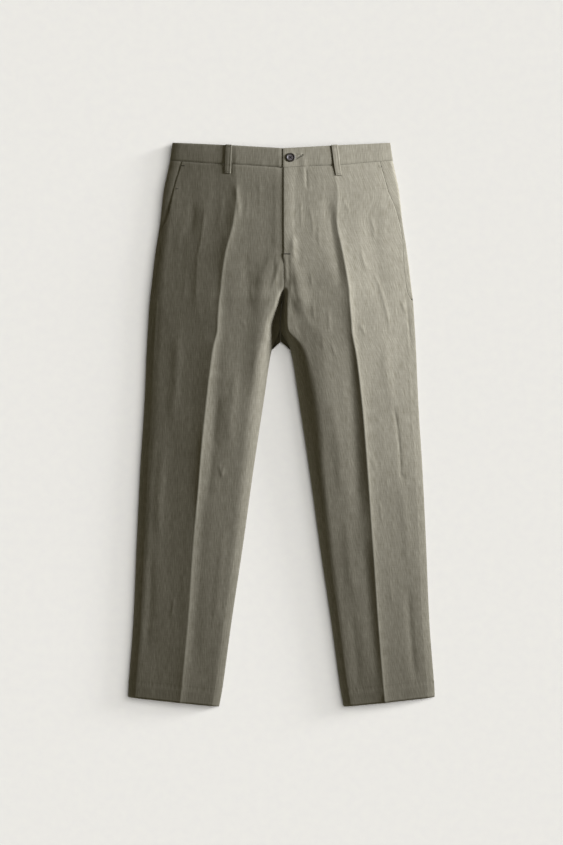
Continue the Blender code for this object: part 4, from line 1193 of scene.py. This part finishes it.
def turned_and_drilled():
    """The button's mesh: its profile turned round, and four holes drilled through it."""
    bm = bmesh.new()
    verts = [bm.verts.new((r * MM, 0, z * MM)) for r, z in BUTTON_PROFILE]
    for a, b in zip(verts, verts[1:]):
        bm.edges.new((a, b))
    blank = bpy.data.objects.new("button_blank", finished_mesh("button_profile", bm))
    bpy.context.scene.collection.objects.link(blank)
    turn = blank.modifiers.new("turned", "SCREW")
    turn.steps = turn.render_steps = BUTTON_SIDES
    turn.use_merge_vertices = True
    turn.merge_threshold = 0.00001
    bm = bmesh.new()
    for hole in button_holes():
        bmesh.ops.create_cone(bm, cap_ends=True, segments=24, radius1=BUTTON_HOLE, radius2=BUTTON_HOLE,
                              depth=3 * BUTTON_THICKNESS, matrix=Matrix.Translation(hole))
    drill = bpy.data.objects.new("button_drill", finished_mesh("button_drills", bm))
    bpy.context.scene.collection.objects.link(drill)
    cut = blank.modifiers.new("drilled", "BOOLEAN")
    cut.operation = "DIFFERENCE"
    cut.object = drill
    round_edges(blank, HOLE_RIM, 50, 2)
    bpy.context.view_layer.update()
    mesh = bpy.data.meshes.new_from_object(blank.evaluated_get(bpy.context.evaluated_depsgraph_get()))
    for tool in (blank, drill):
        bpy.data.objects.remove(tool)
    mesh.shade_smooth()
    mesh.set_sharp_from_angle(angle=math.radians(40))
    return mesh


# The button's threads: how each rises out of its hole, as a share of the way across and a height in
# millimetres, how high the two pairs cross, where the threads of a pair lie, and the turns round the shank
OUT_OF_HOLE = ((0.0, -1.3), (0.02, 0.3), (0.12, 0.75))
CROSS_LOW, CROSS_HIGH = 0.95, 1.0375
THREADS_ABREAST = (-1.1, -0.35, 0.35, 1.1)
SHANK_TURNS, SHANK_SIDES, SHANK_RADIUS = 3, 16, 1.7 * MM
SHANK_START, SHANK_PITCH = 0.12 * MM, 0.3 * MM


def build_button(horn, thread):
    """A four-hole horn button with a broad dark rim, sewn on with crossed threads over a short shank."""
    half = BUTTON_THICKNESS / 2
    x = section(BUTTON_ROW).centre + BUTTON_FROM_EDGE
    place = surface_frame(x, BUTTON_ROW, BAND_PROUD + BUTTON_GAP + half)
    button = add_object("horn_button", turned_and_drilled(), horn, ["button"])
    button.matrix_world = place
    holes = list(button_holes())
    runs = []
    for a, b, crown in ((holes[0], holes[2], CROSS_LOW), (holes[1], holes[3], CROSS_HIGH)):
        side = Vector((-(b - a).y, (b - a).x, 0)).normalized()
        path = (*OUT_OF_HOLE, (0.5, crown), *((1 - share, z) for share, z in OUT_OF_HOLE[::-1]))
        for offset in THREADS_ABREAST:
            shift = side * offset * THREAD
            runs.append([place @ (a.lerp(b, share) + shift + Vector((0, 0, z * MM))) for share, z in path])
    for turn in range(SHANK_TURNS):
        z = -half - SHANK_START - SHANK_PITCH * turn
        angles = [math.tau * k / SHANK_SIDES for k in range(SHANK_SIDES + 1)]
        around = [(math.cos(angle) * SHANK_RADIUS, math.sin(angle) * SHANK_RADIUS) for angle in angles]
        runs.append([place @ Vector((*spot, z)) for spot in around])
    sewn("button_thread", runs, thread)


# ---------------------------------------------------------------- the zip
def zip_steps(count):
    top, low = BAND_SEAM + ZIP_TOP, FLY_END + ZIP_END
    return [top + (low - top) * k / count for k in range(count + 1)]


def bevelled_box(bm, size, place, radius):
    """Adds a box with rounded edges to a mesh in the making."""
    made = bmesh.ops.create_cube(bm, size=1)["verts"]
    bmesh.ops.scale(bm, vec=size, verts=made)
    edges = list({edge for vert in made for edge in vert.link_edges})
    rounded = bmesh.ops.bevel(bm, geom=edges, offset=radius, segments=2, profile=0.5, affect="EDGES")
    new = list({vert for face in rounded["faces"] for vert in face.verts} | {v for v in made if v.is_valid})
    bmesh.ops.transform(bm, matrix=place, verts=new)


def build_zip(tape_stuff, brass):
    """A closed zip behind the fly: two tapes, the teeth on their edges, and the slider with its pull."""
    tapes = []
    for t in zip_steps(ZIP_TAPE_ROWS):
        middle = section(t).centre + ZIP_FROM_EDGE
        tapes.append([])
        for share in ZIP_TAPE_COLUMNS:
            raised = ZIP_CORD if abs(share) < 0.1 else 0.0
            tapes[-1].append(front_out(middle + ZIP_TAPE * share, t, raised - ZIP_DEPTH))
    cloth_shell("zip_tape_cloth", tapes, ZIP_TAPE_WALL, tape_stuff, ["zip_tape"])

    depth = -ZIP_DEPTH + SEAM_GAP + ZIP_TOOTH[2] / 2
    first, *_, last = zip_steps(ZIP_STEPS)[1:]
    top, foot = (front_point(section(t).centre, t, False).y for t in (first, last))
    run = top - foot
    count = round(run / (ZIP_TOOTH_PITCH / 2))
    bm = bmesh.new()
    for k in range(count + 1):
        t = first + (last - first) * k / count
        x = section(t).centre + ZIP_FROM_EDGE + ZIP_TOOTH_OUT * (-1) ** k
        bevelled_box(bm, ZIP_TOOTH, surface_frame(x, t, depth), 0.2 * MM)
    add_object("zip_teeth", finished_mesh("zip_teeth", bm), brass, ["zip_chain"])

    t = sum(zip_steps(ZIP_STEPS)[:2]) / 2 - 0.02
    x = section(t).centre + ZIP_FROM_EDGE
    place = surface_frame(x, t, -ZIP_DEPTH + SEAM_GAP + ZIP_SLIDER[2] / 2 + 0.1 * MM)
    bm = bmesh.new()
    for side in (-1, 1):
        apart = Matrix.Translation((0, 0, side * (ZIP_SLIDER[2] - ZIP_PLATE) / 2))
        bevelled_box(bm, (*ZIP_SLIDER[:2], ZIP_PLATE), place @ apart, 0.22 * MM)
    post = place @ Matrix.Translation((0, ZIP_POST_UP, 0))
    bevelled_box(bm, (*ZIP_POST, ZIP_SLIDER[2]), post, 0.2 * MM)
    pull = place @ Matrix.Translation((0, -ZIP_PULL[1] / 2, ZIP_SLIDER[2] / 2 - 0.2 * MM))
    bevelled_box(bm, ZIP_PULL, pull, 0.25 * MM)
    slider = finished_mesh("zip_slider_body", bm)
    add_object("zip_slider_brass", slider, brass, ["zip_slider"])


# ---------------------------------------------------------------- materials
def hexed(code):
    """The linear colour of an sRGB hex code."""
    parts = [int(code[i : i + 2], 16) / 255 for i in (1, 3, 5)]
    return (*(c / 12.92 if c <= 0.04045 else ((c + 0.055) / 1.055) ** 2.4 for c in parts), 1.0)


def node(tree, kind, inputs, stops=(), **settings):
    """Adds a node and gives its outputs. Each input is a value or an output to link; stops are a ramp's."""
    made = tree.nodes.new("ShaderNode" + kind)
    for name, value in settings.items():
        setattr(made, name, value)
    if stops:
        elements = made.color_ramp.elements
        while len(elements) < len(stops):
            elements.new(0.5)
        for element, (position, code) in zip(elements, stops):
            element.position = position
            element.color = hexed(code)
    for name, value in inputs.items():
        if isinstance(value, bpy.types.NodeSocket):
            tree.links.new(value, made.inputs[name])
        else:
            made.inputs[name].default_value = value
    return made.outputs


def finish_named(name, constants):
    """A new material and its node tree, with its shader's constant values set."""
    stuff = bpy.data.materials.new(name)
    stuff.use_nodes = True
    shader = stuff.node_tree.nodes["Principled BSDF"]
    for socket, value in constants.items():
        shader.inputs[socket].default_value = value
    return stuff, stuff.node_tree


def feed(stuff, sources):
    """Links outputs to the sockets of a material's shader."""
    shader = stuff.node_tree.nodes["Principled BSDF"]
    for socket, source in sources.items():
        stuff.node_tree.links.new(source, shader.inputs[socket])
    return stuff


def streaks(tree, cloth_map, across, length, detail, seed=0.0):
    """Noise drawn out along the cloth: across and length are the size of a streak in metres."""
    start, size = (seed, seed * 0.7, seed * 0.3), (1 / across, 1 / length, 1.0)
    moved = node(tree, "Mapping", {"Vector": cloth_map, "Location": start, "Scale": size})["Vector"]
    settings = {"Vector": moved, "Scale": 1.0, "Detail": detail, "Roughness": 0.55}
    return node(tree, "TexNoise", settings, noise_dimensions="2D")["Fac"]


def woven_linen():
    """Washed plain-weave linen: matt, with uneven flax yarns that show as slubs, longest down the leg."""
    stuff, tree = finish_named("woven_linen", {
        "IOR": 1.5, "Specular IOR Level": 0.2, "Sheen Weight": 0.05, "Sheen Roughness": 0.5})
    uv = node(tree, "UVMap", {}, uv_map="cloth")["UV"]
    warp = streaks(tree, uv, 1.8 * MM, 17 * MM, 3.0)
    weft = streaks(tree, uv, 22 * MM, 1.6 * MM, 3.0, 5.3)
    slub = streaks(tree, uv, 2.4 * MM, 34 * MM, 1.0, 11.9)
    cloudy = streaks(tree, uv, 60 * MM, 110 * MM, 2.0, 2.2)
    # the real yarns are 0.6 mm apart, which is too fine to show here: the weave is drawn at four times that
    pitch = math.tau / (2.4 * MM)
    axes = node(tree, "SeparateXYZ", {0: uv})
    over = []
    for axis in ("X", "Y"):
        turned = node(tree, "Math", {0: axes[axis], 1: pitch}, operation="MULTIPLY")[0]
        over.append(node(tree, "Math", {0: turned}, operation="SINE")[0])
    weave = node(tree, "Math", {0: over[0], 1: over[1]}, operation="MULTIPLY")[0]
    across = node(tree, "Math", {0: weft, 1: 0.22}, operation="MULTIPLY")[0]
    yarn = node(tree, "Math", {0: warp, 1: 0.78, 2: across}, operation="MULTIPLY_ADD")[0]
    tone = node(tree, "Math", {0: weave, 1: 0.01, 2: yarn}, operation="MULTIPLY_ADD")[0]
    base = node(tree, "ValToRGB", {"Fac": tone}, (
        (0.28, "#77735f"), (0.46, "#837f6d"), (0.56, "#888472"), (0.74, "#96937f")))["Color"]
    # slubs are paler, and so is cloth that is worn or has faded in soft clouds; the pressed crease is painted
    # paler as well, partly as its sheen
    thick = node(tree, "ValToRGB", {"Fac": slub}, ((0.60, "#000000"), (0.74, "#ffffff")))["Color"]
    share = node(tree, "Math", {0: thick, 1: 0.25}, operation="MULTIPLY")[0]
    slubbed = node(tree, "Mix", {"Factor": share, 6: base, 7: hexed("#a09d88")}, data_type="RGBA")[2]
    # the wear attribute also carries the crease's painted sheen
    wear_and_sheen = node(tree, "Attribute", {}, attribute_name="wear_and_sheen")["Fac"]
    share = node(tree, "Math", {0: wear_and_sheen, 1: 0.3}, operation="MULTIPLY")[0]
    worn_and_sheen_colour = node(tree, "Mix", {"Factor": share, 6: slubbed, 7: hexed("#a9a692")}, data_type="RGBA")[2]
    clouds = node(tree, "ValToRGB", {"Fac": cloudy}, ((0.3, "#d9d9d6"), (0.7, "#ffffff")))["Color"]
    mottled = node(
        tree, "Mix", {"Factor": 0.25, 6: worn_and_sheen_colour, 7: clouds}, data_type="RGBA", blend_type="MULTIPLY")[2]
    rough = node(tree, "MapRange", {
        "Value": yarn, "From Min": 0.3, "From Max": 0.7, "To Min": 0.92, "To Max": 0.74})["Result"]
    raised = node(tree, "Math", {0: weave, 1: 0.04, 2: yarn}, operation="MULTIPLY_ADD")[0]
    raised = node(tree, "Math", {0: thick, 1: 0.12, 2: raised}, operation="MULTIPLY_ADD")[0]
    relief = node(tree, "Bump", {"Height": raised, "Strength": 0.26, "Distance": 0.35 * MM})["Normal"]
    return feed(stuff, {"Base Color": mottled, "Roughness": rough, "Normal": relief})


def polished_horn():
    """Buffalo horn, turned and polished: a nearly black rim, a dish painted greyer to stand in for the
    studio's reflection in its polish, and faint growth streaks.
    """
    stuff, tree = finish_named("polished_horn", {"IOR": 1.55, "Coat Weight": 0.05, "Coat Roughness": 0.3})
    place = node(tree, "TexCoord", {})["Object"]
    level = node(tree, "VectorMath", {0: place, 1: (1.0, 1.0, 0.0)}, operation="MULTIPLY")[0]
    radius = node(tree, "VectorMath", {0: level}, operation="LENGTH")["Value"]
    # growth streaks about 3 mm long, 1 mm wide and 5 mm deep
    stretched = node(tree, "Mapping", {"Vector": place, "Scale": (320.0, 900.0, 200.0)})["Vector"]
    growth = node(tree, "TexNoise", {"Vector": stretched, "Scale": 1.0, "Detail": 4.0})["Fac"]
    # the dish's lilac grey is a painted reflection of the studio in the polished face; the rim keeps the
    # horn's dark colour
    dish_painted_reflection = node(tree, "ValToRGB", {"Fac": growth}, (
        (0.3, "#4c4746"), (0.55, "#5f5a59"), (0.75, "#6d6867")))["Color"]
    dark = node(tree, "ValToRGB", {"Fac": growth}, ((0.3, "#211d15"), (0.7, "#342f25")))["Color"]
    in_rim = node(tree, "MapRange", {
        "Value": radius, "From Min": 4.7 * MM, "From Max": 5.4 * MM})["Result"]
    shade = node(tree, "Mix", {"Factor": in_rim, 6: dish_painted_reflection, 7: dark}, data_type="RGBA")[2]
    gloss = node(tree, "MapRange", {"Value": growth, "To Min": 0.42, "To Max": 0.55})["Result"]
    return feed(stuff, {"Base Color": shade, "Roughness": gloss})


def twisted_thread(name, dark, light):
    """Cotton-wrapped polyester sewing thread: a soft lustre, with its twist as fine slanted bands."""
    stuff, tree = finish_named(name, {"IOR": 1.5, "Sheen Weight": 0.2, "Specular IOR Level": 0.3})
    place = node(tree, "TexCoord", {})["Object"]
    turned = node(tree, "Mapping", {"Vector": place, "Rotation": (0.4, 0.3, 0.7)})["Vector"]
    # a ply of such thread is 0.2 mm wide
    twist = node(tree, "TexWave", {"Vector": turned, "Scale": 1 / (math.tau * 0.2 * MM)})["Fac"]
    shade = node(tree, "ValToRGB", {"Fac": twist}, ((0.2, dark), (0.8, light)))["Color"]
    rough = node(tree, "MapRange", {"Value": twist, "To Min": 0.75, "To Max": 0.6})["Result"]
    return feed(stuff, {"Base Color": shade, "Roughness": rough})


def herringbone_tape():
    """Woven polyester zip tape: ribs 0.8 mm apart that change their slant every 3 mm, slightly lustrous."""
    stuff, tree = finish_named("herringbone_tape", {"IOR": 1.5, "Sheen Weight": 0.15, "Roughness": 0.8})
    uv = node(tree, "UVMap", {}, uv_map="cloth")["UV"]
    axes = node(tree, "SeparateXYZ", {0: uv})
    zigzag = node(tree, "Math", {0: axes["X"], 1: 3 * MM}, operation="PINGPONG")[0]
    slanted = node(tree, "Math", {0: axes["Y"], 1: zigzag}, operation="ADD")[0]
    turned = node(tree, "Math", {0: slanted, 1: math.tau / (0.8 * MM)}, operation="MULTIPLY")[0]
    rib = node(tree, "Math", {0: turned}, operation="SINE")[0]
    share = node(tree, "Math", {0: rib, 1: 0.5, 2: 0.5}, operation="MULTIPLY_ADD")[0]
    shade = node(tree, "ValToRGB", {"Fac": share}, ((0.1, "#5c594a"), (0.9, "#706d5c")))["Color"]
    relief = node(tree, "Bump", {"Height": rib, "Strength": 0.4, "Distance": 0.1 * MM})["Normal"]
    return feed(stuff, {"Base Color": shade, "Normal": relief})


def tumbled_brass():
    """Zip brass, stamped and tumbled: dull gold with fine scratches and darker tarnish in soft patches."""
    stuff, tree = finish_named("tumbled_brass", {"Metallic": 1.0})
    place = node(tree, "TexCoord", {})["Object"]
    scratch = node(tree, "TexNoise", {"Vector": place, "Scale": 1 / (0.4 * MM), "Detail": 4.0})["Fac"]
    tarnish = node(tree, "TexNoise", {"Vector": place, "Scale": 1 / (3 * MM), "Detail": 2.0})["Fac"]
    shade = node(tree, "ValToRGB", {"Fac": tarnish}, ((0.3, "#8f7c55"), (0.7, "#b39f72")))["Color"]
    rough = node(tree, "MapRange", {"Value": scratch, "To Min": 0.28, "To Max": 0.5})["Result"]
    return feed(stuff, {"Base Color": shade, "Roughness": rough})


# ---------------------------------------------------------------- the floor, the light and the camera
FLOOR_DEPTH = 0.4 * MM
FLOOR_SIZE = 14.0


def studio_paper():
    """A roll of seamless studio paper: matt and nearly white, glowing a little so that it stays even."""
    stuff, tree = finish_named("studio_paper", {
        "Roughness": 0.95, "Specular IOR Level": 0.0,
        "Emission Color": hexed("#ebeae9"), "Emission Strength": 0.03})
    # the noise's coordinates run from 0 to 1 over the floor's 14 m, so its mottling is about 15 mm wide
    grain = node(tree, "TexNoise", {"Scale": 900.0, "Detail": 2.0})["Fac"]
    shade = node(tree, "ValToRGB", {"Fac": grain}, ((0.3, "#91908e"), (0.7, "#93928f")))["Color"]
    return feed(stuff, {"Base Color": shade})


def build_floor(paper):
    bm = bmesh.new()
    bmesh.ops.create_grid(bm, x_segments=1, y_segments=1, size=FLOOR_SIZE / 2)
    mesh = finished_mesh("floor", bm)
    mesh.materials.append(paper)
    floor = bpy.data.objects.new("floor", mesh)
    floor.location.z = -FLOOR_DEPTH
    surface = bpy.data.collections.new("surface")
    bpy.context.scene.collection.children.link(surface)
    surface.objects.link(floor)
    return surface


def aimed(name, data, place, target, lit):
    """A light at a place, turned to a target, that lights only the things in one collection."""
    light = bpy.data.objects.new(name, data)
    light.location = place
    light.rotation_euler = (Vector(target) - Vector(place)).to_track_quat("-Z", "Y").to_euler()
    light.light_linking.receiver_collection = lit
    bpy.context.scene.collection.objects.link(light)


# The floor is lit from low over the right edge of the picture up to overhead: each light's height and spread
# in degrees, and its strength
FloorLight = namedtuple("FloorLight", "name height spread energy")
FLOOR_LIGHTS = (
    FloorLight("floor_low", 9.5, 11, 7.0),
    FloorLight("floor_middle", 25, 24, 3.6),
    FloorLight("floor_high", 60, 70, 6.56),
)


# which way the floor's lights lie on the plan: past the right edge of the picture, a little above its middle
FLOOR_LIGHT_WAY = (0.945, 0.327)
SOFT_BOX_PLACE, SOFT_BOX_AIM = (1.25, 0.70, 0.44), (0.0, 0.1, 0.0)
SOFT_BOX_SIZE, SOFT_BOX_POWER = 0.5, 52.0
ROOM_LIGHT = 0.14


def build_light(surface):
    """A low soft box beyond the left hip rakes over the cloth, and an even light falls on the floor."""
    world = bpy.data.worlds.new("studio")
    bpy.context.scene.world = world
    world.use_nodes = True
    room = world.node_tree.nodes["Background"].inputs
    room["Color"].default_value = hexed("#fff5d8")
    room["Strength"].default_value = ROOM_LIGHT
    box = bpy.data.lights.new("soft_box", "AREA")
    box.shape = "DISK"
    box.size = SOFT_BOX_SIZE
    box.energy = SOFT_BOX_POWER
    box.color = hexed("#f0f1ff")[:3]
    aimed("soft_box", box, SOFT_BOX_PLACE, SOFT_BOX_AIM, trousers)
    for name, height, spread, energy in FLOOR_LIGHTS:
        even = bpy.data.lights.new(name, "SUN")
        even.angle = math.radians(spread)
        even.energy = energy
        up = math.radians(height)
        place = (*(part * math.cos(up) for part in FLOOR_LIGHT_WAY), math.sin(up))
        aimed(name, even, place, (0.0, 0.0, 0.0), surface)


CAMERA_HEIGHT = 3.79
CAMERA_CENTRE = (0.2 * MM, 3.6 * MM)


def build_camera():
    lens = bpy.data.cameras.new("overhead")
    lens.lens = 85.0
    lens.sensor_width = 36.0
    camera = bpy.data.objects.new("overhead", lens)
    camera.location = (*CAMERA_CENTRE, CAMERA_HEIGHT)
    bpy.context.scene.collection.objects.link(camera)
    bpy.context.scene.camera = camera
    bpy.context.scene.view_settings.view_transform = "Standard"


linen = woven_linen()
seam_thread = twisted_thread("seam_thread", "#6a6757", "#858270")
# the tack thread is painted darker than the cloth, to stand in for the shade at the tacks by the pocket
# mouths and fly
tack_thread_painted_shade = twisted_thread("tack_thread_painted_shade", "#3f3c30", "#545142")
dark_thread = twisted_thread("dark_button_thread", "#0f0d0a", "#1c1914")
build_camera()
build_backs(linen)
build_fronts(linen)
build_pocket_facings(linen)
build_waistbands(linen)
build_belt_loops(linen, seam_thread)
build_sewing(seam_thread, tack_thread_painted_shade)
build_button(polished_horn(), dark_thread)
build_zip(herringbone_tape(), tumbled_brass())
build_light(build_floor(studio_paper()))
